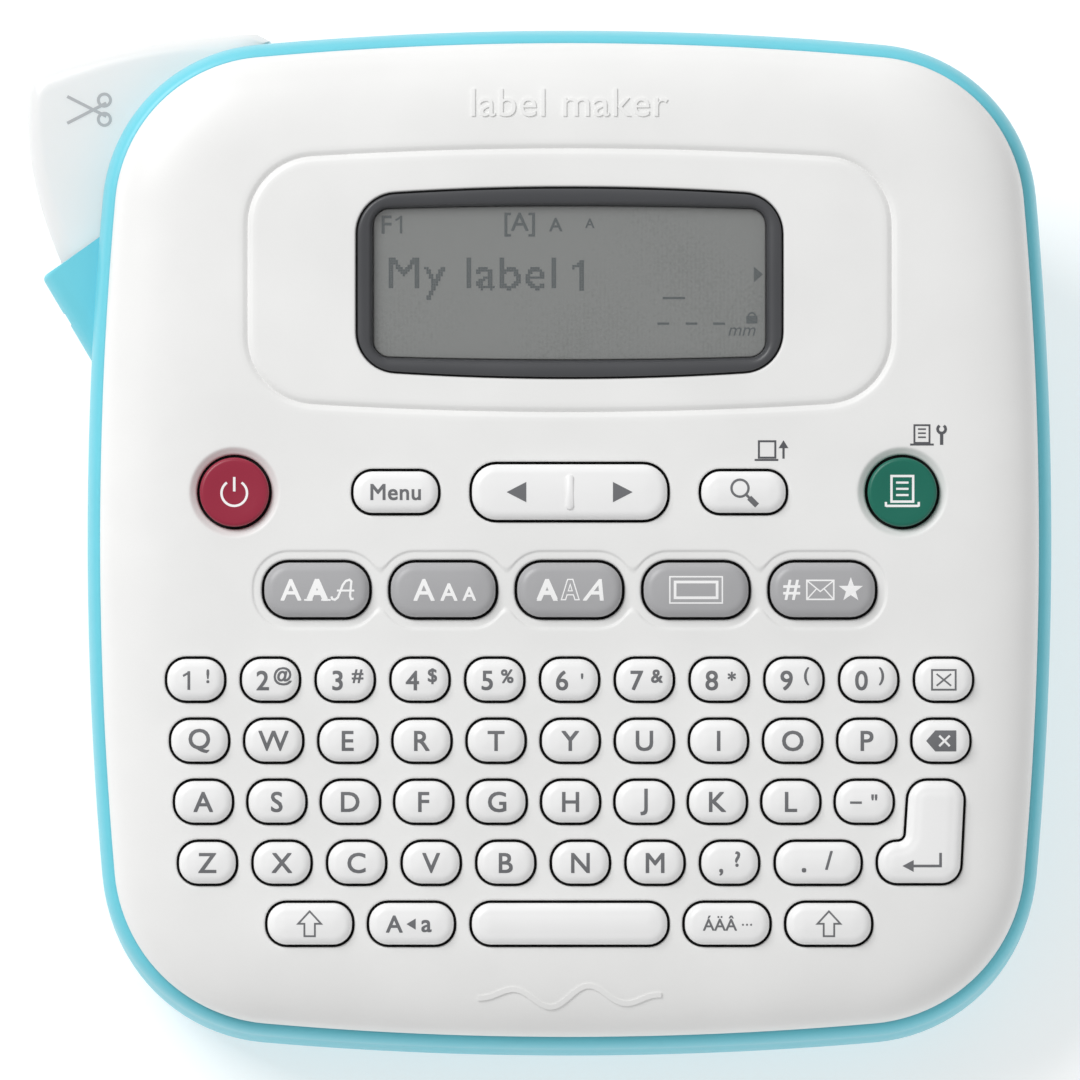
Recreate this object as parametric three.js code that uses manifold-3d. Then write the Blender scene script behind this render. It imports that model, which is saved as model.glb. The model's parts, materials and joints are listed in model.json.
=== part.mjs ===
// Desktop label maker: a keyboard deck tilted over a bowl-shaped base, with a cutter lever at the rear left.
// Millimetres, +Z up, +Y to the rear. The deck frame has its own X, V (up the slope) and W (out of the deck).
import * as THREE from "three";
import { mergeVertices } from "three/addons/utils/BufferGeometryUtils.js";
import Module from "manifold-3d";

const wasm = await Module();
wasm.setup();

// Case
const tilt = THREE.MathUtils.degToRad(16.5); // slope of the deck
const deckHeight = 42; // centre of the parting plane above the desk
const caseHalfWidth = 73.8;
const caseHalfDepth = 78; // measured up the slope
const sideBulge = 587; // radius of the bowed left and right edges
const endBulge = 530; // radius of the bowed front and rear edges
const rearCorner = 25.8;
const frontCorner = 27.2;
const partingGap = 0.3;
const fitGap = 0.3; // between pieces that touch in the real object

// Base shell
const baseWall = 2.4;
const rimWidth = 2.05; // strip of base seen round the cover
const rimDepth = 4.5; // height of the rounded rim
const footHeight = 1.5;
const footRadius = 4.5;
const floorInsetX = 5.8; // how far the floor draws in from the sides
const floorInsetFront = 7.8;
const floorInsetRear = 2.8;
const floorCorner = 20;
const inletBack = 41; // the power inlet ahead of the rear edge
const inletDrop = 14.6; // and below the parting plane there
const inletRadius = 4.2;
const socketRadius = 2.8;
const footInset = 15.8; // feet in from the sides
const frontFootBack = 37; // front feet behind the front edge
const rearFootFront = 35; // rear feet ahead of the rear edge

// Top cover
const coverRise = 8.6;
const coverWall = 2.1;
const coverShoulder = 17; // width of the rolled edge

// Keys
const keyClearance = 0.43;
const keyProud = 1.7;
const keyTravel = 1.2;
const smallKeyWidth = 9.45;
const keyHoleDepth = 7.16;
const keyHoleCorner = 3.3;
const rowPitch = 9.3;
const digitRowV = -21.3;
const wideKeyWidth = 13.7;
const spaceWidth = 30.6;
const cursorDepth = 9.3;
const roundHoleRadius = 5.7;
const roundKeyProud = 0.7;
const functionWidth = 16.8;
const functionDepth = 9.15;
const functionPitch = 19.27;
const functionRowV = -7.6;
const controlRowV = 7.3;
const flangeLip = 0.5; // how far a key's flange reaches past its hole
const flangeThick = 1;
const rockerAngleRoom = 0.7; // extra room under the cover for the rocking key
const sheetThick = 1;

// Display
const frameWidth = 64.6;
const frameDepth = 28.7;
const frameCorner = 6;
const screenWidth = 60;
const screenDepth = 23.6;
const screenCorner = 2.5;
const displayV = 39.2;
const frameProud = 0.3;
const windowThick = 1.2;

// Circuit board
const boardThick = 1.6;
const boardHalfWidth = 62;
const boardRearV = 56;
const boardFrontV = -64;
const bossClearance = 2.6; // board to screw boss, along the slope

// Cutter lever and tape chute, placed from the rear left corner of the case
const leverTop = -7.8;
const leverHeight = 18.9;
const leverWall = 2;
const chuteTop = -5.5;
const chuteWall = 1.8;
const chuteReach = 7.3; // how far its tip stands out of the side
const chuteTipBack = 37.5; // tip, end and root of the chute ahead of the rear edge
const chuteEndBack = 50.9;
const chuteRootBack = 31.5;
const chuteRootInset = 1.9;
const chuteOverlap = 3.2; // how far it runs inside the side of the case
const slitWidth = 2.2;
const slitLength = 8;
const openingReach = 12; // the lever's opening runs this far past the case
const pivotInset = 18.8;
const pivotBack = 14;
const postRadius = 3.5;
const postDepth = 22;
const pinGrip = 6; // length of the pin held in its post
const pinProud = 1.3;
const pinRadius = 1.5;
const hubRadius = 3;
const springRadius = 3.8; // middle of the coil's wire
const springWire = 0.4;
const runningGap = 0.1;
const bladeThick = 0.6;

// Mechanism
const chassisTop = -9;
const chassisWall = 1.6;
const cassetteWidth = 84;
const cassetteDepth = 52;
const cassetteHeight = 20;
const gearModule = 1;
const gearWidth = 4;
const pinionTeeth = 8;
const reductionTeeth = 24;
const platenTeeth = 16;
const spindleTeeth = 16;
const gearBacklash = 0.16;
const rollerRadius = 4.5;
const motorRadius = 6;
const motorLength = 19;
const shaftRadius = 1.1;
const journalRadius = 2;
const rollerLength = 18;
const tapeRun = 21.8; // from the slit to the nip of the roller and the print head
const headWidth = 9;
const headThick = 1;
const sinkWidth = 7.4;
const sinkThick = 2.4;
const gripWidth = 26; // finger recess in the cassette
const gripDepth = 8;
const spindleBore = 4.2;

// Batteries and bottom cover
const cellRadius = 7.25;
const cellLength = 50.5;
const cellCount = 6;
const cellGap = 0.4;
const doorThick = 1.8;
const doorGap = 0.4;
const doorCorner = 6;
const doorRearCorner = 1.5; // small, so that the hinged edge clears its opening as it turns
const hookInset = 14; // middle of a hinge tab from the side of the door
const hookWidth = 10;
const hookFront = 4; // a tab starts this far ahead of the rear edge
const tongueReach = 1.4; // and its tongue passes the rear edge by this much
const tongueThick = 1.2;
const notchRadius = 9;
const notchDepth = 0.9;
const bayMargin = 6; // between the cassette and the side of the bay
const bayBack = 15.3; // rear of the bay ahead of the rear edge
const bayLength = 60.5; // length of the cassette bay along the slope
const cellEndRoom = 1.9; // from the end of a cell to the wall

// Screws
const bossRadius = 3.6;
const screwRadius = 1.4;
const screwHeadRadius = 2.6;
const screwGrip = 8; // shoulder of the screw below the parting plane
const screwReach = 5; // length that bites into the cover

// Derived levels in the deck frame
const coverInside = coverRise - coverWall;
const flangeTop = coverInside - 0.6;
const flangeBottom = flangeTop - flangeThick;
const sheetTop = flangeBottom - keyTravel - fitGap;
const boardTop = sheetTop - sheetThick - fitGap;
const boardBottom = boardTop - boardThick;
const leverBottom = leverTop - leverHeight;
const floorTop = footHeight + baseWall;
const deckMatrix = new THREE.Matrix4().makeRotationX(tilt).setPosition(0, 0, deckHeight);
const rearEdgeY = caseHalfDepth * Math.cos(tilt);

// ---- geometry helpers ----

function solidOf(geometry) {
  const bare = geometry.index ? geometry.toNonIndexed() : geometry.clone();
  bare.deleteAttribute("normal");
  bare.deleteAttribute("uv");
  const merged = mergeVertices(bare, 1e-4);
  const vertProperties = merged.attributes.position.array;
  const triVerts = new Uint32Array(merged.index.array);
  return new wasm.Manifold(new wasm.Mesh({ numProp: 3, vertProperties, triVerts }));
}

function geometryOf(solid) {
  const mesh = solid.getMesh();
  const geometry = new THREE.BufferGeometry();
  geometry.setAttribute("position", new THREE.BufferAttribute(new Float32Array(mesh.vertProperties), 3));
  geometry.setIndex(new THREE.BufferAttribute(new Uint32Array(mesh.triVerts), 1));
  geometry.computeVertexNormals();
  return geometry;
}

function point(x, y) {
  return new THREE.Vector2(x, y);
}

// A flat outline raised from one level to another.
function prism(outline, low, high) {
  const settings = { depth: high - low, bevelEnabled: false };
  return new THREE.ExtrudeGeometry(new THREE.Shape(outline), settings).translate(0, 0, low);
}

function prismSolid(outline, low, high) {
  return solidOf(prism(outline, low, high));
}

function deckPrismSolid(outline, low, high) {
  return solidOf(prism(outline, low, high).applyMatrix4(deckMatrix));
}

function boxSolid(low, high) {
  const size = new THREE.Vector3().subVectors(high, low);
  const middle = new THREE.Vector3().addVectors(low, high).multiplyScalar(0.5);
  return solidOf(new THREE.BoxGeometry(size.x, size.y, size.z).translate(middle.x, middle.y, middle.z));
}

function circleOutline(radius, centre, sides) {
  const turn = (2 * Math.PI) / sides;
  return Array.from({ length: sides }, (_, i) =>
    point(centre.x + radius * Math.cos(i * turn), centre.y + radius * Math.sin(i * turn)));
}

function rectangle(width, depth, centre) {
  const [x, y] = [width / 2, depth / 2];
  return [point(-x, -y), point(x, -y), point(x, y), point(-x, y)].map((corner) => corner.add(centre));
}

// Moves every edge of a counter-clockwise outline outwards.
function growOutline(corners, distance) {
  return corners.map((corner, i) => {
    const before = corners[(i + corners.length - 1) % corners.length];
    const after = corners[(i + 1) % corners.length];
    const into = corner.clone().sub(before).normalize();
    const away = after.clone().sub(corner).normalize();
    const outward = point(into.y + away.y, -into.x - away.x).normalize();
    const spread = outward.dot(point(into.y, -into.x));
    return corner.clone().addScaledVector(outward, distance / spread);
  });
}

// Turns each corner into an arc of its own radius.
function roundCorners(corners, radii, steps = 2) {
  return corners.flatMap((corner, i) => {
    const toBefore = corners[(i + corners.length - 1) % corners.length].clone().sub(corner).normalize();
    const toAfter = corners[(i + 1) % corners.length].clone().sub(corner).normalize();
    const radius = Array.isArray(radii) ? radii[i] : radii;
    const halfAngle = Math.acos(THREE.MathUtils.clamp(toBefore.dot(toAfter), -1, 1)) / 2;
    const middle = toBefore.clone().add(toAfter).normalize();
    const centre = corner.clone().addScaledVector(middle, radius / Math.sin(halfAngle));
    const first = corner.clone().addScaledVector(toBefore, radius / Math.tan(halfAngle)).sub(centre);
    const last = corner.clone().addScaledVector(toAfter, radius / Math.tan(halfAngle)).sub(centre);
    const sweep = Math.atan2(first.cross(last), first.dot(last));
    return Array.from({ length: steps + 1 }, (_, k) =>
      first.clone().rotateAround(point(0, 0), (sweep * k) / steps).add(centre));
  });
}

function roundedRectangle(width, depth, radius, centre = point(0, 0), steps = 2) {
  return roundCorners(rectangle(width, depth, centre), radius, steps);
}

// Skins a stack of convex rings, lowest first, and closes both ends.
function loft(rings) {
  const count = rings[0].length;
  const index = [];
  rings.slice(1).forEach((_, level) => {
    for (let i = 0; i < count; i += 1) {
      const next = (i + 1) % count;
      const [a, b] = [level * count + i, level * count + next];
      index.push(a, b, b + count, a, b + count, a + count);
    }
  });
  const top = (rings.length - 1) * count;
  for (const [a, b, c] of THREE.ShapeUtils.triangulateShape(rings[0], [])) {
    index.push(a, c, b, top + a, top + b, top + c);
  }
  const geometry = new THREE.BufferGeometry().setFromPoints(rings.flat());
  geometry.setIndex(index);
  return geometry;
}

function arcPoints(centre, radius, from, to, steps) {
  return Array.from({ length: steps + 1 }, (_, i) => {
    const angle = from + ((to - from) * i) / steps;
    return point(centre.x + radius * Math.cos(angle), centre.y + radius * Math.sin(angle));
  });
}

// Where two circles cross, on the left (side 1) or right (side -1) of the line between their centres.
function circlesMeet(first, firstRadius, second, secondRadius, side) {
  const span = second.clone().sub(first);
  const distance = span.length();
  const along = (firstRadius ** 2 - secondRadius ** 2 + distance ** 2) / (2 * distance);
  const across = Math.sqrt(firstRadius ** 2 - along ** 2) * side;
  return point(
    first.x + (span.x * along - span.y * across) / distance,
    first.y + (span.y * along + span.x * across) / distance,
  );
}

// A quarter of a rectangle with bowed edges, from the middle of its side to the middle of its end.
function bowedQuarter(halfWidth, halfDepth, corner, inset) {
  const side = point(halfWidth - sideBulge, 0);
  const end = point(0, halfDepth - endBulge);
  const turn = circlesMeet(side, sideBulge - corner, end, endBulge - corner, 1);
  const sideEnd = Math.atan2(turn.y - side.y, turn.x - side.x);
  const cornerEnd = Math.atan2(turn.y - end.y, turn.x - end.x);
  return [
    ...arcPoints(side, sideBulge - inset, 0, sideEnd, 2),
    ...arcPoints(turn, corner - inset, sideEnd, cornerEnd, 7).slice(1),
    ...arcPoints(end, endBulge - inset, cornerEnd, Math.PI / 2, 2).slice(1),
  ];
}

function bowedOutline(halfWidth, halfDepth, rearRadius, frontRadius, inset) {
  const rear = bowedQuarter(halfWidth, halfDepth, rearRadius, inset);
  const front = bowedQuarter(halfWidth, halfDepth, frontRadius, inset);
  const flip = (list, x, y) => list.map((p) => point(p.x * x, p.y * y));
  return [
    ...rear,
    ...flip(rear, -1, 1).reverse().slice(1),
    ...flip(front, -1, -1).slice(1),
    ...flip(front, 1, -1).reverse().slice(1, -1),
  ];
}

function caseOutline(inset) {
  return bowedOutline(caseHalfWidth, caseHalfDepth, rearCorner, frontCorner, inset);
}

function flatRing(inset, level) {
  return caseOutline(inset).map((p) => new THREE.Vector3(p.x, p.y, level));
}

function deckRing(inset, level) {
  return flatRing(inset, level).map((p) => p.applyMatrix4(deckMatrix));
}

function floorOutline(inset) {
  const front = -rearEdgeY + floorInsetFront;
  const rear = rearEdgeY - floorInsetRear;
  const middle = (front + rear) / 2;
  const outline = bowedOutline(caseHalfWidth - floorInsetX, (rear - front) / 2, floorCorner, floorCorner, inset);
  return outline.map((p) => point(p.x, p.y + middle));
}

// ---- casing ----

// Rings of the bowl, from the floor up to just under the rim; they draw in on a quarter ellipse.
function bowlRings(inset, floorLevel, rimLevel) {
  const upper = deckRing(inset, rimLevel);
  const lower = floorOutline(inset);
  return [1, 0.94, 0.82, 0.62, 0.34, 0].map((drop) => {
    const drawIn = 1 - Math.sqrt(1 - drop * drop);
    return upper.map((p, i) => new THREE.Vector3(
      THREE.MathUtils.lerp(p.x, lower[i].x, drawIn),
      THREE.MathUtils.lerp(p.y, lower[i].y, drawIn),
      THREE.MathUtils.lerp(p.z, floorLevel, drop),
    ));
  });
}

function baseOuter() {
  const rings = bowlRings(0, footHeight, -rimDepth);
  rings.push(deckRing(0.3, -rimDepth * 0.45));
  rings.push(deckRing(1.05, -rimDepth * 0.15));
  rings.push(deckRing(rimWidth - 0.1, 0));
  return solidOf(loft(rings));
}

function baseInner() {
  const ledge = rimWidth + coverWall + fitGap;
  const rings = bowlRings(baseWall, floorTop, -rimDepth - baseWall);
  rings.push(deckRing(ledge, -rimDepth));
  rings.push(deckRing(ledge, 1));
  return solidOf(loft(rings));
}

// Screw bosses stand at the four corners, clear of the circuit board and of the lever.
const bossPlaces = [
  point(-caseHalfWidth + 19.8, -rearEdgeY + 17.8),
  point(caseHalfWidth - 19.8, -rearEdgeY + 17.8),
  point(caseHalfWidth - 19.8, rearEdgeY - 14.8),
  point(-caseHalfWidth + 39.8, rearEdgeY - 8.8),
];

function partingHeight(y) {
  return deckHeight + y * Math.tan(tilt);
}

function bossColumn(radius, place, low, high) {
  return prismSolid(circleOutline(radius, place, 12), low, high);
}

// The chute's slanted outer face runs from its tip back to the side of the case.
const chuteTip = point(-caseHalfWidth - chuteReach, caseHalfDepth - chuteTipBack);
const chuteEnd = point(-caseHalfWidth + 0.7, caseHalfDepth - chuteEndBack);
const chuteDirection = chuteEnd.clone().sub(chuteTip).normalize();
const chuteInward = point(-chuteDirection.y, chuteDirection.x);
const tapeDirection = chuteInward.clone();
const slitCentre = chuteTip.clone().add(chuteEnd).multiplyScalar(0.5);

function chuteBody() {
  const root = point(-caseHalfWidth + chuteRootInset, caseHalfDepth - chuteRootBack);
  const corners = [
    chuteTip,
    chuteEnd.clone().addScaledVector(chuteDirection, chuteOverlap),
    point(root.x + chuteOverlap, chuteEnd.y - chuteOverlap),
    point(root.x + chuteOverlap / 2, root.y + fitGap + chuteOverlap / 2),
    root,
  ];
  return deckPrismSolid(corners, leverBottom - fitGap - chuteWall, chuteTop);
}

// One opening takes the lever, the cut path and the inside of the chute.
function leverOpening() {
  const innerTip = chuteTip.clone().addScaledVector(chuteInward, chuteWall).addScaledVector(chuteDirection, 0.2);
  const innerEnd = chuteEnd.clone().addScaledVector(chuteInward, chuteWall);
  const corners = [
    innerTip,
    innerEnd,
    point(-caseHalfWidth + openingReach, innerEnd.y),
    point(-caseHalfWidth + 28.3, caseHalfDepth - 18),
    point(-caseHalfWidth + 28.3, caseHalfDepth + openingReach),
    point(-caseHalfWidth - 18, caseHalfDepth + openingReach),
    point(-caseHalfWidth - 18, innerTip.y + openingReach),
  ];
  return deckPrismSolid(corners, leverBottom - fitGap, leverTop + 0.4);
}

function tapeSlit() {
  const across = chuteDirection.clone().multiplyScalar(slitWidth / 2);
  const along = chuteInward.clone().multiplyScalar(slitLength / 2);
  const corners = [
    slitCentre.clone().sub(across).sub(along),
    slitCentre.clone().add(across).sub(along),
    slitCentre.clone().add(across).add(along),
    slitCentre.clone().sub(across).add(along),
  ];
  return deckPrismSolid(corners, leverBottom + 0.4, leverTop - 0.4);
}

const leverPivot = point(-caseHalfWidth + pivotInset, caseHalfDepth - pivotBack);

function pivotPost(outer) {
  const top = leverBottom - fitGap;
  const post = deckPrismSolid(circleOutline(postRadius, leverPivot, 12), top - postDepth, top);
  const hole = deckPrismSolid(circleOutline(pinRadius + fitGap, leverPivot, 12), top - pinGrip - 1, top + 1);
  return { post: post.intersect(outer), hole };
}

// The bottom opening and the chassis above it are placed from the rear left of the case.
const bayCentreX = 73.8 - caseHalfWidth;
const bayRearY = rearEdgeY - bayBack;
const bayHalfWidth = Math.max(cassetteWidth / 2 + bayMargin, (cellCount * (2 * cellRadius + cellGap)) / 2 + 3.3);
const wallBetweenBays = bayRearY - bayLength * Math.cos(tilt) - 5;
const cellRearY = wallBetweenBays - chassisWall - cellEndRoom;
const bayFrontY = cellRearY - cellLength - cellEndRoom;

function doorOutline(grow) {
  const middle = point(bayCentreX, (bayRearY + bayFrontY) / 2);
  const depth = bayRearY - bayFrontY;
  const radii = [doorCorner, doorCorner, doorRearCorner, doorRearCorner].map((radius) => radius + grow);
  return roundCorners(rectangle(2 * bayHalfWidth + 2 * grow, depth + 2 * grow, middle), radii);
}

// The inlet stands square to the bowed side of the case.
const inletY = rearEdgeY - inletBack;
const sideAtInlet = caseHalfWidth - sideBulge + Math.sqrt(sideBulge ** 2 - (inletY / Math.cos(tilt)) ** 2);
const inletPlace = new THREE.Vector3(sideAtInlet + 1, inletY, partingHeight(inletY) - inletDrop);

function inletHole() {
  const hole = new THREE.CylinderGeometry(inletRadius, inletRadius, 24, 16);
  return solidOf(hole.rotateZ(Math.PI / 2).translate(inletPlace.x, inletPlace.y, inletPlace.z));
}

function baseShell() {
  const outer = baseOuter();
  const pivot = pivotPost(outer);
  let shell = outer.subtract(baseInner());
  for (const place of bossPlaces) {
    const top = partingHeight(place.y) + 20;
    shell = shell.add(bossColumn(bossRadius, place, footHeight, top).intersect(outer));
  }
  shell = shell.add(chuteBody()).subtract(leverOpening()).subtract(tapeSlit());
  shell = shell.add(pivot.post).subtract(pivot.hole);
  for (const place of bossPlaces) {
    const shelf = partingHeight(place.y) - screwGrip;
    shell = shell.subtract(bossColumn(screwHeadRadius + fitGap, place, 0, shelf));
    shell = shell.subtract(bossColumn(screwRadius + fitGap, place, 0, shelf + 20));
  }
  shell = shell.subtract(prismSolid(doorOutline(doorGap), 0, floorTop + 0.1));
  return geometryOf(shell.subtract(inletHole()));
}

// Rolled edge of the cover as shares of its shoulder width and rise.
const rollOff = [[0, 0.035], [0.006, 0.23], [0.053, 0.51], [0.165, 0.73], [0.353, 0.884], [0.647, 0.977], [1, 1]];

function coverOuter() {
  return rollOff.map(([across, up], i) =>
    flatRing(rimWidth + across * coverShoulder, i ? up * coverRise : partingGap));
}

function coverInner() {
  const rings = rollOff.map(([across, up]) =>
    flatRing(rimWidth + coverWall + 0.8 * across * coverShoulder, up * coverInside));
  return [flatRing(rimWidth + coverWall, -2), ...rings];
}

// The cover is made in the deck frame, so its upright screw columns lean there.
function topCover() {
  const outer = solidOf(loft(coverOuter()));
  const column = (radius, place, reach) => {
    const parting = partingHeight(place.y);
    return solidOf(prism(circleOutline(radius, place, 12), parting - 10, parting + reach)
      .applyMatrix4(deckMatrix.clone().invert()));
  };
  let cover = outer.subtract(solidOf(loft(coverInner())));
  for (const key of [...singleKeys, ...rowKeys.flatMap((row) => row.keys)]) {
    cover = cover.subtract(prismSolid(key.outline(0), flangeBottom, coverRise + 1));
  }
  cover = cover.subtract(prismSolid(frameOutline(fitGap), flangeBottom, coverRise + 1));
  for (const place of bossPlaces) {
    cover = cover.add(column(bossRadius - 0.4, place, 12).intersect(outer));
    cover = cover.subtract(column(screwRadius + fitGap, place, screwReach + 1));
  }
  return geometryOf(cover);
}

// The door turns on two hooked tabs at its rear edge.
function bottomCover() {
  let door = prismSolid(doorOutline(0), footHeight, footHeight + doorThick);
  const tongueBottom = floorTop + fitGap;
  for (const side of [-1, 1]) {
    const x = bayCentreX + side * (bayHalfWidth - hookInset);
    const tab = (rear, bottom) => boxSolid(
      new THREE.Vector3(x - hookWidth / 2, bayRearY - hookFront, bottom),
      new THREE.Vector3(x + hookWidth / 2, bayRearY + rear, tongueBottom + tongueThick),
    );
    door = door.add(tab(-0.5, footHeight + 0.5)).add(tab(tongueReach, tongueBottom));
  }
  const notchCentre = point(bayCentreX, bayFrontY);
  const notch = prismSolid(circleOutline(notchRadius, notchCentre, 16), footHeight - 1, footHeight + notchDepth);
  return geometryOf(door.subtract(notch));
}

function rubberFoot(place) {
  const profile = [[0, 0], [footRadius - 0.5, 0], [footRadius, 0.5], [footRadius, footHeight], [0, footHeight]];
  const foot = new THREE.LatheGeometry(profile.map(([r, z]) => point(r, z)), 16);
  return foot.rotateX(Math.PI / 2).translate(place.x, place.y, 0);
}

// A screw: pan head under its shoulder, then the thread as a plain shank.
function caseScrew(place) {
  const shelf = partingHeight(place.y) - screwGrip;
  const tip = partingHeight(place.y) + screwReach;
  const profile = [
    [0, shelf - 2.1], [screwHeadRadius - 0.8, shelf - 2.1], [screwHeadRadius, shelf - 1.2],
    [screwHeadRadius, shelf - 0.1], [screwRadius, shelf - 0.1], [screwRadius, tip - 1], [0, tip],
  ];
  const screw = new THREE.LatheGeometry(profile.map(([r, z]) => point(r, z)), 10);
  return screw.rotateX(Math.PI / 2).translate(place.x, place.y, 0);
}

// ---- keys ----

function pillKey(name, width, depth, centre) {
  const outline = (grow) => {
    const corner = Math.min(keyHoleCorner, depth / 2) + grow;
    return roundedRectangle(width + 2 * grow, depth + 2 * grow, corner, centre);
  };
  return { name, centre, outline, proud: keyProud };
}

function roundKey(name, centre) {
  const outline = (grow) => circleOutline(roundHoleRadius + grow, centre, 16);
  return { name, centre, outline, proud: roundKeyProud };
}

// The return key is an upright with a foot to the left; its sides lean a little.
function returnKey(name, centre) {
  const corners = [
    point(-8.9, -8.2), point(4.3, -8.2), point(5.1, 8.2), point(-4.1, 8.2), point(-4.7, -1.1), point(-8.9, -1.1),
  ].map((corner) => corner.add(centre));
  const outline = (grow) => {
    const outer = keyHoleCorner + grow;
    const hollow = Math.max(0.9 - grow, 0.2);
    return roundCorners(growOutline(corners, grow), [outer, outer, outer, outer, hollow, outer]);
  };
  return { name, centre, outline, proud: keyProud };
}

function keyRow(name, row, firstX, pitch, count) {
  const v = digitRowV - row * rowPitch;
  const keys = Array.from({ length: count }, (_, i) =>
    pillKey(name + i, smallKeyWidth, keyHoleDepth, point(firstX + i * pitch, v)));
  const web = roundedRectangle(
    (count - 1) * pitch + smallKeyWidth + flangeLip,
    keyHoleDepth + 2 * flangeLip,
    keyHoleCorner,
    point(firstX + ((count - 1) * pitch) / 2, v),
  );
  return { name, keys, web };
}

const rowKeys = [
  keyRow("keys_digit_row", 0, -57, 11.4, 11),
  keyRow("keys_upper_row", 1, -56.4, 11.3, 11),
  keyRow("keys_home_row", 2, -55.8, 11.19, 10),
  keyRow("keys_lower_row", 3, -55.2, 11.37, 8),
];

const lowerRowV = digitRowV - 3 * rowPitch;
const bottomRowV = digitRowV - 4 * rowPitch;
const functionKeys = ["key_font", "key_size", "key_style", "key_frame", "key_symbol"].map((name, i) =>
  pillKey(name, functionWidth, functionDepth, point((i - 2) * functionPitch, functionRowV)));
const cursorKey = pillKey("key_cursor", spaceWidth, cursorDepth, point(0, controlRowV));
const singleKeys = [
  roundKey("key_power", point(-51.1, controlRowV)),
  pillKey("key_menu", wideKeyWidth, keyHoleDepth, point(-26.5, controlRowV)),
  cursorKey,
  pillKey("key_find", wideKeyWidth, keyHoleDepth, point(26.5, controlRowV)),
  roundKey("key_print", point(50.7, controlRowV)),
  ...functionKeys,
  returnKey("key_enter", point(55.6, -44.5)),
  pillKey("key_period", wideKeyWidth, keyHoleDepth, point(37.9, lowerRowV)),
  pillKey("key_shift_left", wideKeyWidth, keyHoleDepth, point(-39.6, bottomRowV)),
  pillKey("key_caps", wideKeyWidth, keyHoleDepth, point(-24.1, bottomRowV)),
  pillKey("key_space", spaceWidth, keyHoleDepth, point(0, bottomRowV)),
  pillKey("key_accent", wideKeyWidth, keyHoleDepth, point(24, bottomRowV)),
  pillKey("key_shift_right", wideKeyWidth, keyHoleDepth, point(39.5, bottomRowV)),
];

function keyStem(key, low) {
  return prismSolid(key.outline(-keyClearance), low, coverRise + key.proud);
}

function singleKey(key) {
  const drop = key === cursorKey ? rockerAngleRoom : 0;
  const flange = prismSolid(key.outline(flangeLip), flangeBottom - drop, flangeTop - drop);
  return geometryOf(flange.add(keyStem(key, flangeBottom - drop)));
}

function keyStrip(row) {
  let strip = prismSolid(row.web, flangeBottom, flangeTop);
  for (const key of row.keys) {
    strip = strip.add(keyStem(key, flangeBottom));
  }
  return geometryOf(strip);
}

// ---- display and electronics ----

function frameOutline(grow) {
  return roundedRectangle(frameWidth + 2 * grow, frameDepth + 2 * grow, frameCorner + grow, point(0, displayV), 4);
}

function screenOutline(grow) {
  const corner = Math.max(screenCorner + grow, 0.5);
  return roundedRectangle(screenWidth + 2 * grow, screenDepth + 2 * grow, corner, point(0, displayV));
}

const frameFlangeTop = coverInside - fitGap;
const windowTop = coverRise - 0.3;

function displayFrame() {
  const bezel = prismSolid(frameOutline(0), frameFlangeTop - flangeThick, coverRise + frameProud);
  const flange = prismSolid(frameOutline(1.6), frameFlangeTop - flangeThick, frameFlangeTop);
  const opening = prismSolid(screenOutline(0), 0, coverRise + 1);
  return geometryOf(bezel.add(flange).subtract(opening));
}

function displayWindow() {
  return prism(screenOutline(-fitGap), windowTop - windowThick, windowTop);
}

function lcdModule() {
  const panelTop = windowTop - windowThick - fitGap;
  const panel = prismSolid(screenOutline(-2 * fitGap), boardTop + fitGap, panelTop);
  const carrier = prismSolid(frameOutline(1), boardTop + fitGap, frameFlangeTop - flangeThick - fitGap);
  return geometryOf(panel.add(carrier));
}

// The board and the key sheet narrow at the front to pass between the screw bosses.
function boardOutline(rearV, inset) {
  const halfWidth = boardHalfWidth - inset;
  const front = boardFrontV + inset;
  const bossV = bossPlaces[0].y / Math.cos(tilt);
  const neckV = bossV + bossRadius + bossClearance;
  const neckHalf = bossPlaces[1].x - bossRadius - 1.4;
  return [
    point(-neckHalf, front), point(neckHalf, front), point(neckHalf, neckV), point(halfWidth, neckV),
    point(halfWidth, rearV), point(-halfWidth, rearV), point(-halfWidth, neckV), point(-neckHalf, neckV),
  ];
}

function circuitBoard() {
  return prism(boardOutline(boardRearV, 0), boardBottom, boardTop);
}

function contactSheet() {
  const rear = controlRowV + roundHoleRadius + 2;
  return prism(boardOutline(rear, 0.6), sheetTop - sheetThick, sheetTop);
}

// A power inlet: a barrel with a centre pin, on a square body inside the case.
function powerInlet() {
  const along = (radius, from, to, sides) => {
    const tube = new THREE.CylinderGeometry(radius, radius, to - from, sides).rotateZ(Math.PI / 2);
    return solidOf(tube.translate(inletPlace.x + (from + to) / 2, inletPlace.y, inletPlace.z));
  };
  const body = boxSolid(
    new THREE.Vector3(inletPlace.x - 14, inletPlace.y - 4.5, inletPlace.z - 5.5),
    new THREE.Vector3(inletPlace.x - 4.5, inletPlace.y + 4.5, inletPlace.z + 5.5),
  );
  const barrel = body.add(along(inletRadius - 0.4, -5, -1.4, 16)).subtract(along(socketRadius, -11.5, 1, 14));
  return geometryOf(barrel.add(along(1, -12, -2.6, 8)));
}

// ---- tape mechanism, in the deck frame ----

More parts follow.
